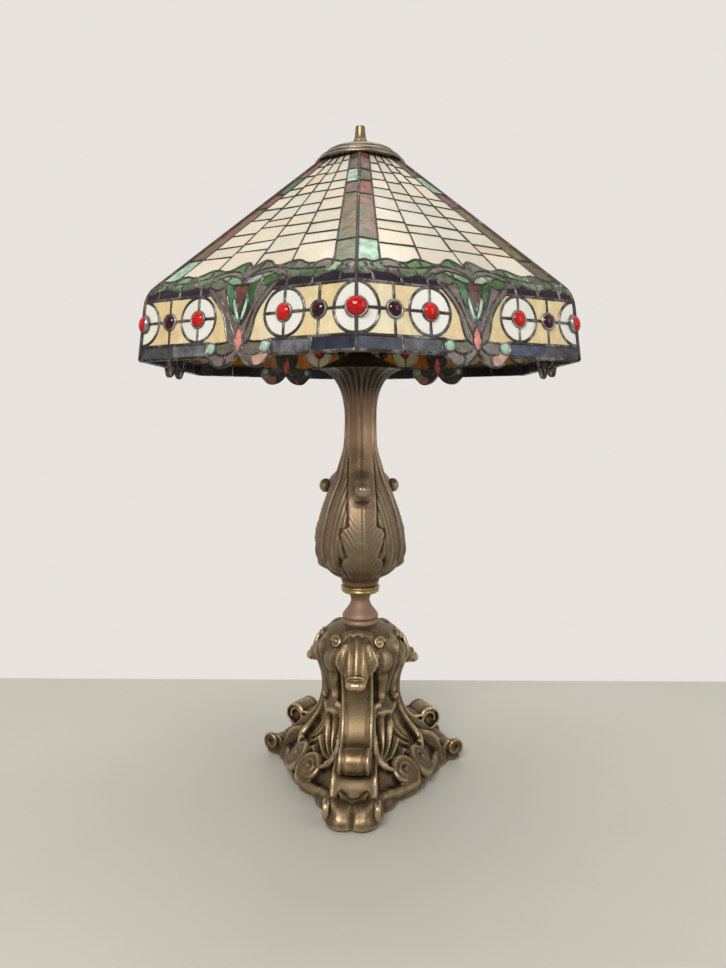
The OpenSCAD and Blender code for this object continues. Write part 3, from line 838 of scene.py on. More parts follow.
def lead(name, dark=(0.075, 0.07, 0.065), bright=(0.42, 0.41, 0.40), bright_share=0.5, rise=None):
    """Darkened solder with silvery patches where the patina is rubbed away; above the heights in rise it stays
    dark.
    """
    n = Nodes(name)
    patch = n.grey(n.noise(55, 5, 0.7, 0.6), 0.62 - 0.35 * bright_share, 0.78 - 0.2 * bright_share)
    if rise:
        patch = n.math("MULTIPLY", patch, n.grey(n.height(), *rise, 1.0, 0.15))
    tint = n.mix(patch, dark, bright)
    tint = n.mix(n.grey(n.noise(400, 3, 0.7), 0.4, 0.75, 0, 0.5), tint, (0.03, 0.03, 0.03))
    normal = n.bump(n.noise(210, 4, 0.6), 0.45, 0.0009)
    return n.finish(n.principled(tint, n.grey(patch, 0, 1, 0.55, 0.26), normal, Metallic=0.85))


def bronze(name, high, mid, low, rough, metallic=0.9, painted_light_bands=()):
    """Patinated cast bronze: low colour in the recesses, patina with painted shade, mid over all, and high where it
    stands out, rubbed bright and with painted highlight. painted_light_bands tints the metal by height with painted
    light and
    shade: pairs of (metres, colour)."""
    n = Nodes(name)
    cloud = n.noise(14, 5, 0.62, 0.4)
    fine = n.noise(120, 5, 0.65)
    # Raised places get the high colour and hollows the low one: rubbed wear and patina, with painted highlight and
    # painted shade.
    wear_and_painted_light = n.math("ADD", n.attribute("relief", "Fac"), n.grey(fine, 0.3, 0.7, -0.10, 0.10))
    tint = n.ramp(wear_and_painted_light, (0.22, low), (0.45, mid), (0.60, mid), (0.86, high))
    tint = n.mix(n.grey(cloud, 0.35, 0.7, 0, 0.45), tint, low)
    tint = n.mix(n.grey(n.noise(34, 4, 0.6, 0.5), 0.52, 0.75, 0, 0.35), tint,
                 tuple(c * k for c, k in zip(mid, (1.15, 0.85, 0.8))))
    # Painted light and shade by height, multiplied over the metal's colour.
    if painted_light_bands:
        low_z, high_z = painted_light_bands[0][0], painted_light_bands[-1][0]
        along = n.grey(n.height(), low_z, high_z)
        tint = n.mix(1.0, tint, n.ramp(along, *[((z - low_z) / (high_z - low_z), colour) for z, colour in painted_light_bands]),
                     "MULTIPLY")
    shine = n.math("ADD", n.grey(wear_and_painted_light, 0.2, 0.9, rough + 0.22, rough - 0.10), n.grey(fine, 0.3, 0.7, -0.06, 0.06))
    return n.finish(n.principled(tint, shine, n.bump(n.noise(330, 4, 0.65), 0.35, 0.0005), Metallic=metallic))


def rows_of(items, key, width, kind=np.float64):
    """One value of every item, as an array with a row for each."""
    values = np.zeros(len(items) * width, kind)
    items.foreach_get(key, values)
    return values.reshape(-1, width)


def relief_of(obj, rounds=(2, 10), gain=(420.0, 190.0)):
    """Stores how far each vertex stands out of its smoothed surroundings: 0.5 is flat, 1 an edge, 0 a recess."""
    mesh = obj.data
    n = len(mesh.vertices)
    co, normal = rows_of(mesh.vertices, "co", 3), rows_of(mesh.vertices, "normal", 3)
    pairs = rows_of(mesh.edges, "vertices", 2, np.int64)
    degree = np.bincount(pairs.ravel(), minlength=n)[:, None].clip(1)

    def blur(values):
        total = np.zeros_like(values)
        for c in range(values.shape[1]):
            total[:, c] = (np.bincount(pairs[:, 0], values[pairs[:, 1], c], n)
                           + np.bincount(pairs[:, 1], values[pairs[:, 0], c], n))
        return total / degree

    value = np.full(n, 0.5)
    smooth, done = co.copy(), 0
    for target, k in zip(rounds, gain):
        while done < target:
            smooth = blur(smooth)
            done += 1
        value += np.einsum("ij,ij->i", co - smooth, normal) * k
    value = blur(value[:, None])[:, 0]
    layer = mesh.attributes.get("relief") or mesh.attributes.new("relief", "FLOAT", "POINT")
    layer.data.foreach_set("value", value.clip(0, 1).astype(np.float32))


def cast_in_one(obj, voxel, smooth_rounds):
    """Fuses overlapping solids into one skin, the way the casting has one."""
    remesh = obj.modifiers.new("fuse", "REMESH")
    remesh.mode = "VOXEL"
    remesh.voxel_size = voxel * MM
    remesh.use_smooth_shade = True
    soften = obj.modifiers.new("soften", "SMOOTH")
    soften.factor = 0.5
    soften.iterations = smooth_rounds
    graph = bpy.context.evaluated_depsgraph_get()
    mesh = bpy.data.meshes.new_from_object(obj.evaluated_get(graph))
    obj.modifiers.clear()
    old, obj.data = obj.data, mesh
    bpy.data.meshes.remove(old)
    return obj


def paint(obj, material):
    obj.data.materials.clear()
    obj.data.materials.append(material)


def place(obj, material, body, slot, *nodes):
    """Paints a piece, fixes it to its body and hides the CAD nodes it stands for."""
    paint(obj, material)
    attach(obj, body)
    if nodes:
        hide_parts(*nodes)


# inner sets how far the glass's inside faces are painted darker and deeper: painted shade.
GLASS_LOOK = {
    "cream": dict(streak=26, contrast=0.6, see_through=0.30, rough=0.14),
    "russet": dict(streak=75, contrast=1.3, see_through=0.28, rough=0.16, mottle=0.40),
    "leaf": dict(streak=90, contrast=1.3, see_through=0.30, rough=0.16, mottle=0.35),
    "night": dict(streak=60, contrast=0.9, see_through=0.10, rough=0.12, gloss=0.22),
    "amber": dict(streak=34, contrast=1.1, see_through=0.30, rough=0.14, mottle=0.06, inner=4.2),
    "white": dict(streak=24, contrast=0.5, see_through=0.30, rough=0.12, inner=6.0),
    "slate": dict(streak=55, contrast=1.4, see_through=0.15, rough=0.20, mottle=0.35, gloss=0.4),
    "flower": dict(streak=95, contrast=1.2, see_through=0.32, rough=0.15, mottle=0.30),
}
for kind, obj in glass_objects.items():
    node, slot = GLASS_KINDS[kind]
    place(obj, opal_glass("glass_" + kind, **GLASS_LOOK[kind]), "shade", slot, node)

place(solder_obj, lead("solder", dark=(0.06, 0.054, 0.05), bright=(0.40, 0.39, 0.38), bright_share=0.42,
                       rise=(0.49, 0.56)), "shade", "solder")
place(cames_obj, lead("hip_solder", dark=(0.06, 0.045, 0.04), bright=(0.22, 0.18, 0.16), bright_share=0.3), "shade",
      "solder", "corner_cames")
place(red_obj, jewel_glass("jewel_red", (0.78, 0.02, 0.012), (0.34, 0.003, 0.006), 0.30), "shade", "red_glass",
      "red_jewels")
place(dark_obj, jewel_glass("jewel_dark", (0.045, 0.001, 0.006), (0.008, 0.001, 0.002), 0.03), "shade",
      "garnet_glass", "dark_jewels")
place(mint_obj, jewel_glass("jewel_mint", (0.50, 0.74, 0.60), (0.36, 0.62, 0.48), 0.35), "shade", "mint_glass",
      "mint_jewels")
place(bezel_obj, lead("bezel_solder", bright_share=0.75), "shade", "solder")


# ---- stem --------------------------------------------------------------

STEM_TURN = math.radians(4)
STEM = [(209, 19.3), (212, 20.6), (217, 22.6), (223, 33.0), (228, 39.0), (233, 42.9), (243.5, 47.6), (253.8, 49.3),
        (264, 49.0), (284.6, 44.7), (305.4, 37.5), (325.7, 28), (336, 24.5), (356.5, 19.3), (377, 17.8),
        (397.6, 17.4), (418, 20.2), (428.7, 23.8), (438.7, 30.5), (444, 37.5), (447.2, 45)]


def radius_at(table, z):
    """The radius at height z, smoothly through a table of (height, radius)."""
    i = segment([height for height, _ in table], z)
    a, b = table[max(i - 1, 0)], table[i]
    c, d = table[i + 1], table[min(i + 2, len(table) - 1)]
    t = (z - b[0]) / (c[0] - b[0])
    h = c[0] - b[0]
    mb = (c[1] - a[1]) / (c[0] - a[0]) * h if c[0] != a[0] else 0
    mc = (d[1] - b[1]) / (d[0] - b[0]) * h if d[0] != b[0] else 0
    return ((2 * t**3 - 3 * t**2 + 1) * b[1] + (t**3 - 2 * t**2 + t) * mb
            + (3 * t**2 - 2 * t**3) * c[1] + (t**3 - t**2) * mc)


def step(x, low, high):
    """0 below low and 1 above high, smoothly."""
    t = min(1, max(0, (x - low) / (high - low)))
    return t * t * (3 - 2 * t)


def bell(x, width):
    return math.exp(-((x / width) ** 2))


# Half width of the front leaf's strip and lobed blade, in millimetres round the stem.
BLADE = [(209, 9), (216, 12), (224, 14), (232, 19), (240, 24), (244, 21.5), (246, 16), (256, 20), (270, 24.5),
         (276, 22), (279, 15), (290, 15.5), (305, 15.5), (330, 14.5), (356, 13.6), (400, 12.5)]


def stem_relief(phi, z, r):
    """How far the leaves stand out at phi from the nearest leaf's middle, in degrees, and height z."""
    x = math.radians(phi) * r
    gap = math.radians(60 - abs(phi)) * r
    out = 0.0
    bulb = step(z, 214, 222) * (1 - step(z, 340, 372))
    blade = table_at(BLADE, z)
    on_blade = 1 - step(abs(x), blade - 0.9, blade + 0.7)
    # The front leaf: raised, with a split mid rib, fine upright veins and slanting ones out to its lobes.
    low = 1 - step(z, 282, 296)
    out += bulb * on_blade * 1.5
    out += bulb * (1 - on_blade) * bell(abs(x) - blade, 2.6) * -1.7
    out += bulb * on_blade * (-0.55 * bell(x, 0.7) + 0.35 * bell(abs(x) - 1.8, 0.9))
    slant = 0.5 + 0.5 * math.cos(2 * math.pi * (z - 2.4 * abs(x) + 0.03 * x * x) / 8.0)
    out += bulb * low * on_blade * step(abs(x), 5, 10) * (slant - 0.5) * 0.6
    out += bulb * low * on_blade * (1 - step(abs(x), 5, 9)) * 0.25 * math.cos(2 * math.pi * x / 2.6)
    # The side leaves: long veins that follow the bulb, a raised rib, and a curl low down.
    side = bulb * (1 - on_blade)
    out += side * 0.5 * math.cos(2 * math.pi * gap / 5.4) * step(z, 226, 244) * (1 - step(z, 318, 352))
    out += side * (1.3 * bell(gap, 2.0) - 0.6 * bell(gap - 4.4, 1.5))
    out += 4.6 * bell(gap - 10.5, 5.5) * bell(z - 235, 6.5) - 4.0 * bell(gap - 11, 5.5) * bell(z - 225.5, 3.4)
    out += 2.2 * bell(gap - 17, 3) * bell(z - 246, 9) - 3.4 * bell(abs(x) - 25.5, 3.0) * bell(z - 240, 6)
    # The neck: flat panels with a crease between them and a ridge at each side.
    neck = step(z, 312, 356) * (1 - step(z, 398, 430))
    out += neck * (-0.75 * bell(x, 1.1) + 0.5 * bell(abs(x) - 2.6, 2.2) + 1.25 * bell(abs(phi) - 47, 3.6)
                   - 0.7 * bell(abs(phi) - 55, 3.5))
    out += neck * 0.9 * bell(gap, 1.6)
    # Where the curled tip grows out of the front leaf, and the hollow under it.
    out += (8.0 * bell(x, 6.5) * bell(z - 325, 8) + 4.0 * bell(x, 7) * bell(z - 312, 8)
            - 3.6 * bell(x, 8) * bell(z - 303.5, 4.0))
    # The mouth: ribs that fan out to a lobed lip.
    mouth = step(z, 402, 432)
    out += mouth * (0.9 * math.cos(math.radians(phi) * 27) + 1.0 * bell(abs(phi) - 60, 5) + 0.9 * bell(phi, 4))
    out += step(z, 434, 447) * (2.2 * math.cos(math.radians(phi) * 9) - 0.8)
    return out


def stem_surface(rows=360, turns=432):
    z0, z1 = STEM[0][0], STEM[-1][0]
    verts = []
    for i in range(rows):
        z = z0 + (z1 - z0) * i / (rows - 1)
        r = radius_at(STEM, z)
        for j in range(turns):
            a = 2 * math.pi * j / turns
            rr = r + stem_relief((math.degrees(a) + 60) % 120 - 60, z, r)
            verts.append((rr * math.cos(a - math.pi / 2), rr * math.sin(a - math.pi / 2), z))
    # The inner wall stays well inside the deepest flute, or the wall turns inside out there and tears.
    inner = [(35, 447.2), (28.5, 444), (22, 438), (17, 428), (13, 412), (10, 380)]
    angles = [2 * math.pi * j / turns - math.pi / 2 for j in range(turns)]
    verts += [(r * math.cos(a), r * math.sin(a), z) for r, z in inner for a in angles]
    return verts, skin(rows + len(inner), turns)


def ball(centre, radii, turns=36, rows=18, dent=None):
    """An ellipsoid; dent(x, y, z) of a unit direction scales it."""
    verts = []
    for i in range(rows + 1):
        lat = math.pi * (i / rows - 0.5)
        for j in range(turns):
            lon = 2 * math.pi * j / turns
            d = (math.cos(lat) * math.cos(lon), math.cos(lat) * math.sin(lon), math.sin(lat))
            k = dent(*d) if dent else 1
            verts.append(tuple(c + q * e * k for c, q, e in zip(centre, radii, d)))
    return verts, skin(rows + 1, turns, caps=False)


def tip_dent(x, y, _):
    """The flutes over a leaf's curled tip, and the crease down its middle."""
    return (1 + 0.05 * math.cos(9 * math.atan2(x, 0.35)) * step(abs(x), 0.1, 0.9)
            - 0.10 * bell(x, 0.14) * step(-y, 0.2, 0.9))


stem = Heap()
stem.add(*stem_surface())
TIP_R, TIP_Z = 44.0, 316.5
for k in range(LEGS):
    spin = spin_z(math.radians(120 * k))
    v, f = ball((0, -TIP_R, TIP_Z), (8.4, 7.2, 8.0), dent=tip_dent)
    stem.add(moved(v, spin), f)
stem_obj = stem.build("leaf_stem")
stem_obj.data.transform(spin_z(STEM_TURN))
cast_in_one(stem_obj, 1.0, 1)
# The widest relief scale darkens broad hollows and lightens broad swells: painted shade and painted light.
relief_of(stem_obj, rounds=(4, 20, 90), gain=(620.0, 250.0, 90.0))
# The stem's height bands are painted light and shade: darker low down, lightest at the neck, dark at the mouth
# under the shade.
stem_look = bronze("stem_bronze", high=(0.72, 0.58, 0.43), mid=(0.46, 0.365, 0.26), low=(0.075, 0.055, 0.038),
                   rough=0.42, metallic=0.6,
                   painted_light_bands=((0.209, (0.34, 0.28, 0.23)), (0.27, (0.40, 0.37, 0.31)), (0.33, (0.58, 0.52, 0.45)),
                          (0.375, (1.20, 1.00, 0.88)),
                          (0.405, (0.60, 0.50, 0.40)), (0.43, (0.16, 0.14, 0.12))))
place(stem_obj, stem_look, "stand", "dark_bronze", "stem_casting")


def turned(name, profile, steps, turns, material, body, slot, node):
    """A turned metal piece."""
    heap = Heap()
    heap.add(*lathe(spline(profile, steps), turns))
    obj = heap.build(name)
    relief_of(obj)
    place(obj, material, body, slot, node)


# The cover is painted near black: painted shade, for the shadow down in the stem's mouth.
turned("stem_cover", [(43, 447.3), (43.5, 448.3), (40, 451), (32, 455), (22, 459.5), (15, 463.2), (13, 465)], 4, 96,
       bronze("cover_painted_shade", (0.07, 0.055, 0.04), (0.04, 0.032, 0.024), (0.015, 0.012, 0.01), 0.55, metallic=0.8),
       "stand", "dark_bronze", "stem_dish")
turned("stem_foot_ring", [(11.5, 199), (15, 199.6), (19.6, 201), (21, 203), (20.4, 204.6), (20.2, 205.2),
                          (21.4, 206.2), (21.3, 207.6), (19.5, 209)], 4, 96,
       bronze("ring_bronze", (0.62, 0.45, 0.20), (0.36, 0.25, 0.11), (0.07, 0.05, 0.03), 0.3), "stand",
       "gold_bronze", "stem_ring")
turned("spindle", [(20.6, 166), (20.8, 169), (19.4, 171.8), (18.4, 172.2), (19.8, 173.6), (19.4, 176.5),
                   (16.6, 180.4), (12.6, 185.6), (10.4, 191), (10.6, 194), (11.8, 197.4), (11.9, 199)], 4, 96,
       bronze("spindle_copper", (0.42, 0.27, 0.19), (0.29, 0.18, 0.125), (0.12, 0.075, 0.05), 0.52, metallic=0.6),
       "stand", "copper_bronze", "spindle_collar")
turned("vase_cap", [(46, 671.8), (50, 672.2), (50.2, 674.2), (48.4, 675.6), (46.2, 676.4), (46.6, 677.4),
                    (45.4, 679.6), (40.6, 682.6), (39.2, 683.2), (39.4, 684.4), (36, 687), (29, 689.4), (27, 689.6),
                    (27, 690.8), (20, 693), (13.4, 694.6), (12.2, 696), (9.6, 698.2), (8.6, 699)], 3, 96,
       bronze("cap_bronze", (0.27, 0.215, 0.15), (0.118, 0.097, 0.074), (0.024, 0.018, 0.014), 0.36, metallic=0.85),
       "shade", "dark_bronze", "shade_cap")
turned("finial_tip", [(8.2, 699), (8.3, 700), (7.2, 702), (6.4, 705), (5.9, 709), (5.5, 713.5), (5.3, 716),
                      (4.6, 716.9), (2.2, 717), (0.3, 716.8)], 4, 48,
       bronze("finial_brass", (0.46, 0.35, 0.21), (0.27, 0.195, 0.12), (0.06, 0.042, 0.03), 0.30), "finial",
       "brass", "finial")


# ---- base --------------------------------------------------------------

BASE_TURN = math.radians(-3.5)
# Height and radius of the cast body, from the crown of the dome to the floor edge.
BODY = spline([(168, 19), (167.2, 24), (164, 32.5), (158, 38.8), (150, 43.0), (143, 45), (136, 45.2), (128, 43.2),
               (118, 39.6), (108, 36.2), (98, 34.2), (88, 34.6), (78, 37.4), (68, 41.8), (58, 47.4), (48, 54.0),
               (38, 61), (29, 67), (21, 71.8), (14, 74.8), (8, 76.4), (3, 76.6), (2, 75.5)], 8)
BODY_S = lengths(BODY)
BODY_DROP = [-z for z, _ in BODY]
# Radius of the floor edge against the angle from the middle of a leg, in degrees.
FOOT_EDGE = [(0, 96), (12, 92), (19, 85), (26, 78.5), (33, 75), (40, 73.6), (46, 75.5), (52, 76.6), (57, 75.4),
             (60, 73.8)]
FLOOR_R = 76.0                          # the turned body's radius at the floor
FLOOR_Z = 2.0                           # the casting's underside, held off the table by the pads
HINGE_X, HINGE_Z, FAN_R = 22.0, 36.0, 47.0  # where the fan beside each strap opens from, and its radius


def body_at(z):
    """(radius, distance down the profile, outward normal) of the cast body at height z."""
    i = segment(BODY_DROP, -z)
    (za, ra), (zb, rb) = BODY[i], BODY[i + 1]
    t = (z - za) / (zb - za)
    d = math.dist(BODY[i], BODY[i + 1])
    return ra + (rb - ra) * t, BODY_S[i] + d * t, ((za - zb) / d, (rb - ra) / d)


HINGE_S = body_at(HINGE_Z)[1]


def body_relief(a, z, r, s):
    """How far the casting stands out of its turned body, a degrees from a leg's middle."""
    x = math.radians(a) * r
    out = -7.5 * (1 - step(x, 9, 14)) * bell(z - 159.5, 4.6)
    dx, ds = x - HINGE_X, HINGE_S - s
    rho, psi = math.hypot(dx, ds), math.degrees(math.atan2(dx, ds))
    fan = step(psi, -14, 2) * (1 - step(psi, 88, 104)) * (1 - step(rho, FAN_R - 3, FAN_R + 1.5))
    ribs = math.cos(math.radians(360 * (psi + 0.85 * rho) / 23))
    out += fan * (-6.5 * math.sin(math.pi * min(1, rho / FAN_R)) ** 0.7 + 2.2 * ribs * step(rho, 4, 16))
    out += step(psi, -14, 2) * (1 - step(psi, 80, 100)) * 3.4 * bell(rho - FAN_R - 2.5, 3.2)
    out += -5.5 * bell(x - 37, 4.2) * bell(z - 32.5, 4.2)
    out += 4.2 * bell(a - 60, 11) * step(z, 138, 148) * (1 - step(z, 154, 163))
    out += 3.0 * bell(a - 60, 6) * step(z, 92, 100) * (1 - step(z, 140, 152))
    return out


def body_surface(turns=540):
    verts, faces = [], []
    rows = len(BODY)
    for i, (z, r) in enumerate(BODY):
        _, s, (nr, nz) = body_at(z)
        for j in range(turns):
            theta = 360.0 * j / turns
            a = abs((theta + 60) % 120 - 60)
            rr = r + foot_spread(a, z)
            d = body_relief(a, z, r, s)
            q = math.radians(theta) - math.pi / 2
            verts.append(((rr + d * nr) * math.cos(q), (rr + d * nr) * math.sin(q), max(FLOOR_Z, z + d * nz)))
    for i in range(rows - 1):
        for j in range(turns):
            b = (j + 1) % turns
            faces.append((i * turns + j, (i + 1) * turns + j, (i + 1) * turns + b, i * turns + b))
    faces.append(tuple(range(turns)))
    faces.append(tuple((rows - 1) * turns + j for j in range(turns))[::-1])
    return verts, faces


def foot_spread(a, z):
    """How much further out than the turned body the casting reaches near the floor."""
    return (table_at(FOOT_EDGE, abs(a)) - FLOOR_R) * step(60 - z, 12, 52)


def on_body(a, z, w=0.0):
    """A point w out of the body at a degrees from the leg's middle, with its outward direction."""
    r, _, (nr, nz) = body_at(z)
    r += foot_spread(a, z)
    q = math.radians(a) - math.pi / 2
    up = (nr * math.cos(q), nr * math.sin(q), nz)
    return ((r + w * nr) * math.cos(q), (r + w * nr) * math.sin(q), z + w * nz), up


def along_body(points, steps=5):
    """A curve of (degrees, height, lift) laid over the body: points and outward directions."""
    line = [on_body(*p) for p in spline(points, steps)]
    return [p for p, _ in line], [u for _, u in line]


def in_surface(up):
    """The level direction and the climbing one in a surface that faces along up."""
    level = Vector((0, 0, 1)).cross(up).normalized()
    return level, up.cross(level)


def leg_loft(line, section):
    """A solid along (r, z) points in the middle plane of a leg; section(t) is a loop of (across, out)."""
    verts = []
    n = len(line)
    for i, (r, z) in enumerate(line):
        (ra, za), (rb, zb) = line[max(i - 1, 0)], line[min(i + 1, n - 1)]
        d = math.hypot(rb - ra, zb - za)
        nr, nz = -(zb - za) / d, (rb - ra) / d
        ring = section(i / (n - 1))
        verts.extend((a, -(r + b * nr), z + b * nz) for a, b in ring)
    return verts, skin(n, len(ring))


def disc(r, z, radius, x0, x1, turns=24):
    """A flat round slab standing across a leg, from x0 to x1."""
    angles = [2 * math.pi * i / turns for i in range(turns)]
    verts = [(x, -(r + radius * math.cos(a)), z + radius * math.sin(a)) for x in (x0, x1) for a in angles]
    sides = [(i, (i + 1) % turns, turns + (i + 1) % turns, turns + i) for i in range(turns)]
    return verts, sides + [tuple(range(turns)), tuple(range(turns, 2 * turns))[::-1]]


def mirrored(verts):
    return [(-x, y, z) for x, y, z in verts]


# The round swelling beside each head: its place on the body (degrees, height), how deep its centre
# lies, and its radius.
SWELLING, SWELL_IN, SWELL_R = (38.5, 133.5), 8.8, 14.8


def beads():
    """The ribbed band that runs down over each swelling, beside the shell."""
    out = []
    centre = Vector(on_body(*SWELLING, -SWELL_IN)[0])
    for k in range(12):
        start, up = on_body(29.0 + 1.2 * math.sin(k / 11 * 3.1), 147.5 - 2.2 * k, 12)
        ray = (centre - Vector(start)).normalized()
        ray = (ray * 0.35 - Vector(up) * 0.65).normalized()
        back = Vector(start) - centre
        reach = back.dot(ray) ** 2 - back.dot(back) + (SWELL_R + 0.2) ** 2
        if reach > 0:
            at = Vector(start) - ray * back.dot(ray) - ray * math.sqrt(reach)
        else:
            at = Vector(on_body(29.0, 147.5 - 2.2 * k, 1.0)[0])
        v, f = ball(tuple(at), (3.0, 1.7, 0.78), 14, 8)
        out.extend([(v, f), (mirrored(v), [q[::-1] for q in f])])
    return out


def leg_pieces():
    """Every casting feature of one leg, leg pointing along -Y: a list of (verts, faces)."""
    out = []

    def pair(shape):
        verts, faces = shape
        out.extend([shape, (mirrored(verts), [f[::-1] for f in faces])])

    def strand(points, width, height, steps=5):
        """A bar laid over the body on both sides of the leg, through (degrees, height, lift)."""
        line, ups = along_body(points, steps)
        pair(tapered(line, ups, width, height))

    # Strap down from the head, through a hollow and over the big roll.
    roll = [(81 + rad * math.cos(math.radians(q)), 49.5 + rad * math.sin(math.radians(q)))
            for q, rad in ((150 - 12 * i, 12.4 - 0.19 * max(0, i - 12)) for i in range(46))]
    strap = spline([(50, 124), (45.5, 115), (42, 106), (40.8, 97), (41.4, 88), (44, 78.5), (48.4, 69.5), (54, 62),
                    (60.5, 57), (67.2, 56.2)], 5) + roll

    def strap_section(t):
        w = 16.6 - 1.0 * step(t, 0.40, 0.52)
        deep = 9.0 * (1 - step(t, 0.26, 0.42)) + 1.6
        return [(-w, -deep), (-w, 0.2), (-w + 1.4, 1.3), (-w + 2.8, 1.0), (-w + 3.8, -0.2), (-w + 5.6, 0.1),
                (-w + 8.4, 0.9), (-4, 1.0), (0, 1.1), (4, 1.0),
                (w - 8.4, 0.9), (w - 5.6, 0.1), (w - 3.8, -0.2), (w - 2.8, 1.0), (w - 1.4, 1.3), (w, 0.2),
                (w, -deep)]

    out.append(leg_loft(strap, strap_section))
    out.append(disc(81, 49.5, 11.0, -11.5, 11.5))
    # The web that carries the strap and roll down to the foot.
    web = [(40.4, 100), (41.6, 87), (46.5, 73), (55, 60.5), (64, 55), (72, 50), (80, 42)]
    out.append(leg_loft(spline(web, 4), lambda t: [(-18 - 6 * t, -30), (-16, -1.0), (16, -1.0), (18 + 6 * t, -30)]))

    # Head: a fluted shell that swells from under the hood to the lip.
    shell = spline([(29, 161), (36, 158.5), (42.5, 153.5), (48.5, 146.5), (53.5, 138.5), (57.4, 130), (60, 122),
                    (60, 116)], 5)

    def shell_section(t):
        w = 11.8 + 1.2 * math.sin(math.pi * t) - 2.0 * step(t, 0.75, 1.0)
        top = []
        for i in range(25):
            u = -1 + i / 12
            flute = 1.0 * abs(math.sin(math.pi * 1.5 * (u + 1))) ** 0.8
            top.append((u * w, 1.5 - 3.0 * u * u + flute * 2.0))
        return [(-w, -16)] + top + [(w, -16)]

    out.append(leg_loft(shell, shell_section))
    out.append(ball((0, -65, 119.5), (10.6, 7.6, 6.2),
                    dent=lambda x, y, _: 1 - 0.10 * bell(x, 0.2) * step(-y, 0.1, 0.8)))
    mouth = spline([(-10.5, -60.5, 120), (-7, -63.5, 126.2), (0, -65.5, 128.2), (7, -63.5, 126.2),
                    (10.5, -60.5, 120)], 5)
    out.append(tapered(mouth, [(0, -1, 0.4)] * len(mouth), lambda t: 1.7, lambda t: 2.2))
    hood = spline([(-21, -30, 154.0), (-16.5, -32.2, 158.2), (-9, -32.8, 161.4), (0, -33.2, 162.6),
                   (9, -32.8, 161.4), (16.5, -32.2, 158.2), (21, -30, 154.0)], 5)
    out.append(tapered(hood, [(0, -0.75, 0.66)] * len(hood), lambda t: 3.2 + 2.0 * math.sin(math.pi * t),
                       lambda t: 2.4))
    # Side lobes of the shell, each a sheaf of three ribs with round ends.
    for k in range(3):
        end_z = 127.5 + 4.4 * k
        rib = spline([(9.5 + 1.2 * k, -41.5, 155.5), (12.5 + 1.9 * k, -46.5 + 0.5 * k, 149),
                      (14.6 + 2.6 * k, -49.4 + 1.2 * k, 141), (14.2 + 2.9 * k, -51.0 + 1.6 * k, end_z)], 6)
        pair(tapered(rib, [(0.35, -1, 0.2)] * len(rib), lambda t: 1.1 + 1.5 * t, lambda t: 1.8 + 1.4 * t))
        pair(ball((14.2 + 2.9 * k, -50.6 + 1.6 * k, end_z), (3.1, 3.4, 3.6), 16, 10))
    # Eyes: a scroll round a boss.
    centre, up = on_body(33, 154, 1.2)
    up = Vector(up)
    east, north = in_surface(up)
    coil = [Vector(centre) + (east * math.cos(q) + north * math.sin(q)) * (7.2 - 0.66 * q) + up * (0.22 * q)
            for q in (0.35 * i for i in range(30)) if 7.2 - 0.66 * q > 0.8]
    pair(tapered(coil, [up] * len(coil), lambda t: 1.5, lambda t: 2.0))
    pair(ball(tuple(Vector(centre) + up * 0.6), (2.6, 2.6, 2.6), 16, 10))
    # Round swelling and its pendant, which hang between the heads.
    centre, up = on_body(*SWELLING, -SWELL_IN)
    pair(ball(centre, (SWELL_R, SWELL_R, SWELL_R + 1.5), 40, 24))
    strand([(38, 130, -2.0), (39, 121, 0.8), (42, 112, 1.6), (43, 104, 1.4), (42.5, 97, 1.8), (41.5, 92.5, 1.0)],
           lambda t: 7.5 - 3.4 * t, lambda t: 3.2 + 0.8 * t)
    tip, up = on_body(42.3, 96.5, 3.0)
    pair(ball(tip, (3.7, 3.7, 5.0), 20, 14))
    strand([(36.5, 116, 1), (37.2, 104, 2.0), (38, 94, 2.6), (42, 89.5, 2.6), (46, 93, 2.4), (47, 99, 1.5)],
           lambda t: 1.5, lambda t: 1.7)

    # Bracket that frames the fan beside the strap: thick at both ends.
    strand([(38, 83.5, 1.2), (33, 86, 3.0), (27.5, 84.5, 3.6), (24.5, 78, 3.4), (23, 68, 3.2), (21.5, 58, 3.2),
            (20.5, 50, 3.2), (20.5, 43, 3.4), (24, 36, 3.0), (29, 33, 1.6)],
           lambda t: 1.7 + 2.4 * abs(math.cos(math.pi * t)) ** 1.4,
           lambda t: 2.6 + 1.6 * abs(math.cos(math.pi * t)), 6)
    for z, wide in ((76.5, 3.4), (57.5, 2.6), (53.5, 2.6)):
        p, up = on_body(24.6 if z > 70 else 21.6, z, 4.2)
        pair(ball(p, (wide, 2.2, 1.4), 14, 8))
    strand([(19, 48, 3), (21, 40, 3.5), (26, 34, 3.4), (31, 31, 2.6), (34, 29.5, 1.6)], lambda t: 2.4,
           lambda t: 2.8)

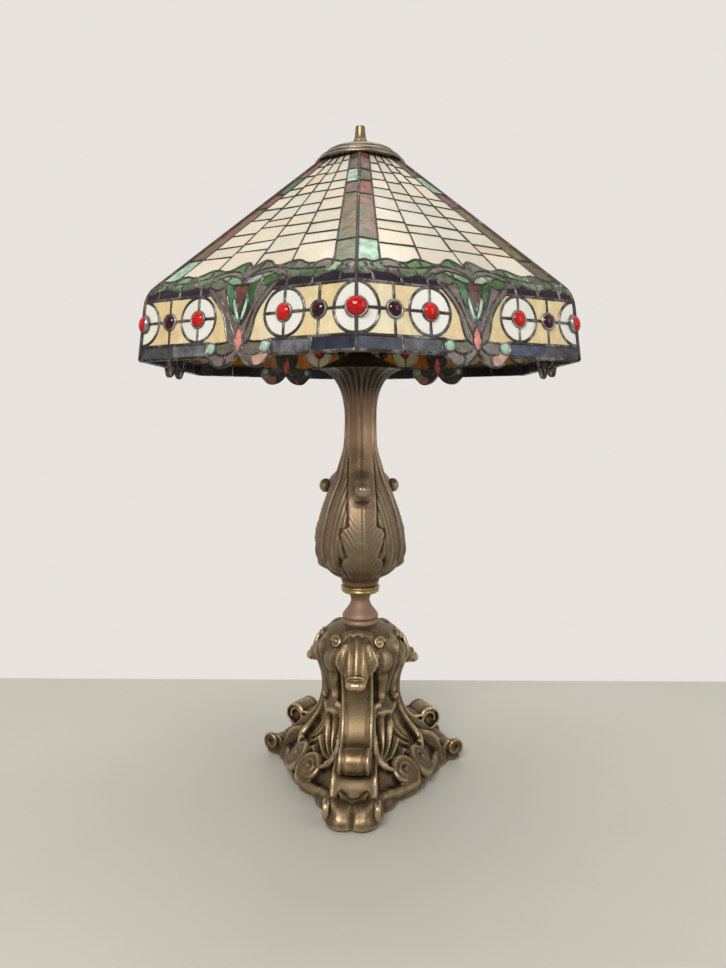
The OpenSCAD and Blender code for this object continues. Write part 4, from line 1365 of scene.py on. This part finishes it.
    # Rosette: a scroll that runs in from the foot's rim.
    centre, up = on_body(45.5, 25.5, -0.5)
    centre, up = Vector(centre), (Vector(up) + Vector((0, 0, 0.35))).normalized()
    east, north = in_surface(up)
    pair(ball(tuple(centre - up * 6), (14.5, 14.5, 9.5), 36, 20))
    tail = [(86, 14.0, 24.5), (84, 14.5, 29.5), (81.5, 14.5, 35.5), (79.5, 13.5, 42)]
    coil = [Vector((x, -math.sqrt(max(r * r - x * x, 0)), z)) for r, z, x in tail]
    for i in range(56):
        q = -1.15 + 0.30 * i
        rad = 15.4 - 0.90 * 0.30 * i
        if rad > 0.9:
            coil.append(centre + (east * math.cos(q) + north * math.sin(q)) * rad + up * (0.2 + 0.24 * 0.30 * i))
    coil = [Vector(p) for p in spline([tuple(p) for p in coil], 3)]
    pair(tapered(coil, [up] * len(coil), lambda t: 3.6 * (1 - t) ** 2 + 1.7, lambda t: 4.4 - 1.8 * t, 12))
    pair(ball((27, -66, 6), (15, 19, 14.5), 36, 20))
    pair(ball((20, -84, 4), (11, 14, 15), 32, 18))
    pair(ball(tuple(centre + up * 4.2), (2.6, 2.6, 2.0), 16, 10))

    # Foot: a hollowed panel between raised rims, a crescent lip and two rounded pads.
    foot = [(58, 48, 22), (66, 44, 22.5), (74, 41, 23), (81, 37.5, 23.5), (86, 32, 24), (89.5, 25, 24.2),
            (93, 19.5, 24.4), (97, 17.5, 24.8)]

    def foot_section(w, h):
        ring = []
        for i in range(29):
            u = -1 + i / 14
            rim = 0.9 * bell(abs(u) - 0.82, 0.20)
            ring.append((u * w, h - 5.4 * (1 - u * u) + rim - 5.0 * step(abs(u), 0.95, 1.0)))
        return [(-w - 1.2, FLOOR_Z)] + ring + [(w + 1.2, FLOOR_Z)]

    verts, stations = [], spline(foot, 4)
    for r, h, w in stations:
        ring = foot_section(w, h)
        verts.extend((a, -r, z) for a, z in ring)
    out.append((verts, skin(len(stations), len(ring))))
    lip = spline([(-14, -88.5, 23.4), (-10, -93.6, 20.6), (-5, -97.2, 18.6), (0, -98.4, 18.0), (5, -97.2, 18.6),
                  (10, -93.6, 20.6), (14, -88.5, 23.4)], 5)
    out.append(tapered(lip, [(0, -0.4, 1)] * len(lip), lambda t: 1.8 + 3.2 * math.sin(math.pi * t),
                       lambda t: 1.5 + 1.8 * math.sin(math.pi * t)))
    # Pads: height against distance out, with a seam down the middle and a pointed outer corner.
    verts, faces = [], []
    rows, cols = 26, 41
    for i in range(rows):
        t = i / (rows - 1)
        for j in range(cols):
            u = -1 + 2 * j / (cols - 1)
            au = abs(u)
            front = 121.5 - 3.0 * bell(au, 0.08) - 6.5 * step(au, 0.5, 1.0)
            w = 22.8 + 2.6 * step(t, 0.1, 0.8)
            r = 94 + (front - 94) * t
            crown = (16.6 + 3.2 * math.sin(math.pi * min(1, t * 1.2)) + 1.8 * bell(au - 0.5, 0.30)
                     + 6.5 * step(au, 0.5, 1.0) * math.sin(math.pi * min(1, t * 1.1)))
            fall = math.sqrt(max(0.0, 1 - max(0.0, (t - 0.42) / 0.58) ** 2.2))
            z = 3.0 + (crown - 3.0) * fall - 2.4 * bell(au, 0.05) * (1 - 0.5 * t)
            verts.append((u * w, -r, z))
    for i in range(rows):
        t = i / (rows - 1)
        for j in range(cols):
            x, y, _ = verts[i * cols + j]
            verts.append((x * (1 - 0.08 * t), y * (1 - 0.012 * t), FLOOR_Z))
    k = rows * cols
    for i in range(rows - 1):
        for j in range(cols - 1):
            q = i * cols + j
            faces += [(q, q + 1, q + cols + 1, q + cols), (k + q, k + q + cols, k + q + cols + 1, k + q + 1)]
    for i in range(rows - 1):
        for j in (0, cols - 1):
            q = i * cols + j
            faces.append((q, q + cols, k + q + cols, k + q))
    for j in range(cols - 1):
        for i in (0, rows - 1):
            q = i * cols + j
            faces.append((q, q + 1, k + q + 1, k + q))
    out.append((verts, faces))
    # Rolled outer ends of the toe, seen from the side as small scrolls.
    curl = [(107.5 + (9.6 - 0.62 * q) * math.cos(q - 1.2), 17.0 + (9.6 - 0.62 * q) * math.sin(q - 1.2))
            for q in (0.35 * i for i in range(35))]
    line = [(25.2, -r, z) for r, z in curl]
    pair(tapered(line, [(1, 0, 0)] * len(line), lambda t: 1.9 - 0.5 * t, lambda t: 3.4 - 1.2 * t))
    pair(disc(107.5, 17.0, 8.6, 21.5, 25.6))
    return out


base = Heap()
base.add(*body_surface())
for k in range(LEGS):
    spin = spin_z(math.radians(120 * k))
    for v, f in leg_pieces():
        base.add([(x, y, max(z, FLOOR_Z)) for x, y, z in moved(v, spin)], f)
base_obj = base.build("leaf_base")
base_obj.data.transform(spin_z(BASE_TURN))
cast_in_one(base_obj, 1.05, 3)
bead_heap = Heap()
for k in range(LEGS):
    for v, f in beads():
        bead_heap.add(moved(v, spin_z(math.radians(120 * k) + BASE_TURN)), f)
bead_obj = bead_heap.build("base_beading")
relief_of(bead_obj, rounds=(1, 3), gain=(200.0, 100.0))
# The widest relief scale darkens broad hollows and lightens broad swells: painted shade and painted light.
relief_of(base_obj, rounds=(5, 26, 120), gain=(260.0, 140.0, 36.0))
# The base's height bands are painted shade: the casting darker towards the floor.
base_look = bronze("base_bronze", high=(0.60, 0.45, 0.265), mid=(0.20, 0.146, 0.082), low=(0.024, 0.017, 0.011),
                   rough=0.40, metallic=0.85,
                   painted_light_bands=((0.002, (0.74, 0.72, 0.72)), (0.028, (0.80, 0.78, 0.78)), (0.06, (1.04, 1.02, 1.0)),
                          (0.168, (1.0, 1.0, 1.0))))
place(base_obj, base_look, "stand", "gold_bronze", "base_casting")
place(bead_obj, base_look, "stand", "gold_bronze")


# ---- fittings carried over from the CAD --------------------------------


def metal(name, tint, stain, rough=0.32, scale=60):
    """Drawn or turned metal with finger stains and fine handling marks."""
    n = Nodes(name)
    cloud = n.grey(n.noise(scale, 5, 0.65, 0.5), 0.38, 0.72)
    colour = n.mix(cloud, tint, stain)
    shine = n.math("ADD", n.grey(cloud, 0, 1, rough, rough + 0.25),
                   n.grey(n.noise(420, 3, 0.6), 0.3, 0.7, -0.05, 0.05))
    return n.finish(n.principled(colour, shine, n.bump(n.noise(520, 3, 0.6), 0.18, 0.0003), Metallic=0.95))


def soft_matter(name, tint, other, scale, rough=0.85, rise=0.5):
    """Felt, card or moulded plastic: two near tints and a fine grain."""
    n = Nodes(name)
    grain = n.noise(scale, 5, 0.7)
    colour = n.mix(n.grey(grain, 0.35, 0.65), tint, other)
    return n.finish(n.principled(colour, n.grey(grain, 0.3, 0.7, rough - 0.08, rough + 0.08),
                                 n.bump(grain, rise, 0.0006)))


def frosted_bulb(name):
    n = Nodes(name)
    cloud = n.grey(n.noise(26, 3, 0.5), 0.3, 0.7)
    colour, rough = n.mix(cloud, (0.93, 0.93, 0.90), (0.86, 0.87, 0.85)), n.grey(cloud, 0, 1, 0.28, 0.40)
    return n.finish(n.principled(colour, rough, n.bump(n.noise(300, 2), 0.06, 0.0003), Transmission_Weight=0.55,
                                 IOR=1.45))


BRASS = metal("fitting_brass", (0.52, 0.36, 0.15), (0.24, 0.15, 0.06), 0.30)
CHAIN_BRASS = metal("chain_brass", (0.62, 0.45, 0.20), (0.34, 0.22, 0.09), 0.25, 180)
STEEL = metal("zinc_steel", (0.46, 0.46, 0.45), (0.24, 0.22, 0.20), 0.34)
HOOP_METAL = lead("hoop_solder", dark=(0.09, 0.085, 0.08), bright=(0.34, 0.33, 0.31), bright_share=0.4)
FITTINGS = {
    BRASS: ("crown_ring", "spider", "seat_washer", "riser_pipe", "riser_nut", "two_light_body", "holder_arms",
            "holder_caps", "holder_shells", "contact_sleeves", "bulb_base_left", "bulb_base_right"),
    CHAIN_BRASS: ("pull_chain_left", "pull_knob_left", "pull_chain_right", "pull_knob_right"),
    STEEL: ("top_stud", "lamp_pipe", "clamp_nut", "clamp_washer"),
    HOOP_METAL: ("reinforcing_hoop",),
    soft_matter("liner_card", (0.42, 0.33, 0.22), (0.34, 0.26, 0.17), 150): ("holder_liners",),
    soft_matter("green_felt", (0.05, 0.085, 0.055), (0.03, 0.055, 0.035), 700, 0.95, 0.9):
        ("base_cover", "felt_pads"),
    soft_matter("black_bush", (0.022, 0.022, 0.022), (0.035, 0.034, 0.032), 300, 0.5, 0.2): ("cord_bush",),
    soft_matter("lamp_core", (0.62, 0.60, 0.54), (0.50, 0.48, 0.43), 200, 0.5, 0.2):
        ("bulb_core_left", "bulb_core_right"),
    frosted_bulb("bulb_frost"): ("bulb_glass_left", "bulb_glass_right"),
}
for material, names in FITTINGS.items():
    for node_name in names:
        paint(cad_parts[node_name], material)


# ---- camera, light and floor -------------------------------------------

# A pale room, brighter behind the lamp and overhead than behind the camera.
world = bpy.data.worlds.new("room")
bpy.context.scene.world = world
world.use_nodes = True
tree = world.node_tree
coordinate = tree.nodes.new("ShaderNodeTexCoord")
split = tree.nodes.new("ShaderNodeSeparateXYZ")
tree.links.new(coordinate.outputs["Generated"], split.inputs["Vector"])
from_back = tree.nodes.new("ShaderNodeMapRange")
tree.links.new(split.outputs["Y"], from_back.inputs["Value"])
for key, value in (("From Min", -0.35), ("From Max", 0.30), ("To Min", 0.58), ("To Max", 1.0)):
    from_back.inputs[key].default_value = value
tree.links.new(from_back.outputs["Result"], tree.nodes["Background"].inputs["Strength"])
tree.nodes["Background"].inputs["Color"].default_value = (0.80, 0.765, 0.73, 1)

TABLE_EDGE = 0.28
floor_mesh = bpy.data.meshes.new("floor")
floor_mesh.from_pydata([(-6, -6, 0), (6, -6, 0), (6, TABLE_EDGE, 0), (-6, TABLE_EDGE, 0)], [], [(0, 1, 2, 3)])
floor = bpy.data.objects.new("floor", floor_mesh)
bpy.context.scene.collection.objects.link(floor)
n = Nodes("floor")
paint(floor, n.finish(n.principled(n.mix(n.grey(n.noise(3, 3), 0.3, 0.7), (0.44, 0.44, 0.39), (0.47, 0.465, 0.42)),
                                   0.55)))


def area_light(name, at, towards, size, watts, colour=(1, 1, 1)):
    data = bpy.data.lights.new(name, "AREA")
    data.shape = "RECTANGLE"
    data.size, data.size_y = size
    data.energy = watts
    data.color = colour
    obj = bpy.data.objects.new(name, data)
    obj.location = at
    obj.rotation_euler = (Vector(towards) - Vector(at)).to_track_quat("-Z", "Y").to_euler()
    bpy.context.scene.collection.objects.link(obj)


area_light("key", (-0.4, -1.7, 1.5), (0, 0, 0.4), (0.9, 0.6), 34, (1.0, 0.97, 0.92))
area_light("fill", (1.5, -1.0, 0.9), (0, 0, 0.3), (0.7, 1.2), 6, (0.95, 0.97, 1.0))
area_light("ceiling", (0.0, 0.3, 2.3), (0, 0, 0.3), (1.6, 1.0), 14, (1.0, 0.98, 0.95))

# A level camera a little below the shade's rim, a touch right of the front hip, and shifted down to take
# in the whole lamp.
SENSOR, FOCAL = 36.0, 27.04         # millimetres
DISTANCE, CAMERA_Z = 0.808, 0.3965  # metres
SHIFT = (0.0028, -0.0713)
YAW = math.radians(0.75)
camera_data = bpy.data.cameras.new("camera")
camera_data.sensor_width = SENSOR
camera_data.lens = FOCAL
camera_data.shift_x, camera_data.shift_y = SHIFT
camera = bpy.data.objects.new("camera", camera_data)
camera.location = (DISTANCE * math.sin(YAW), -DISTANCE * math.cos(YAW), CAMERA_Z)
camera.rotation_euler = (math.radians(90), 0, YAW)
bpy.context.scene.collection.objects.link(camera)
bpy.context.scene.camera = camera
bpy.context.scene.view_settings.view_transform = "Standard"
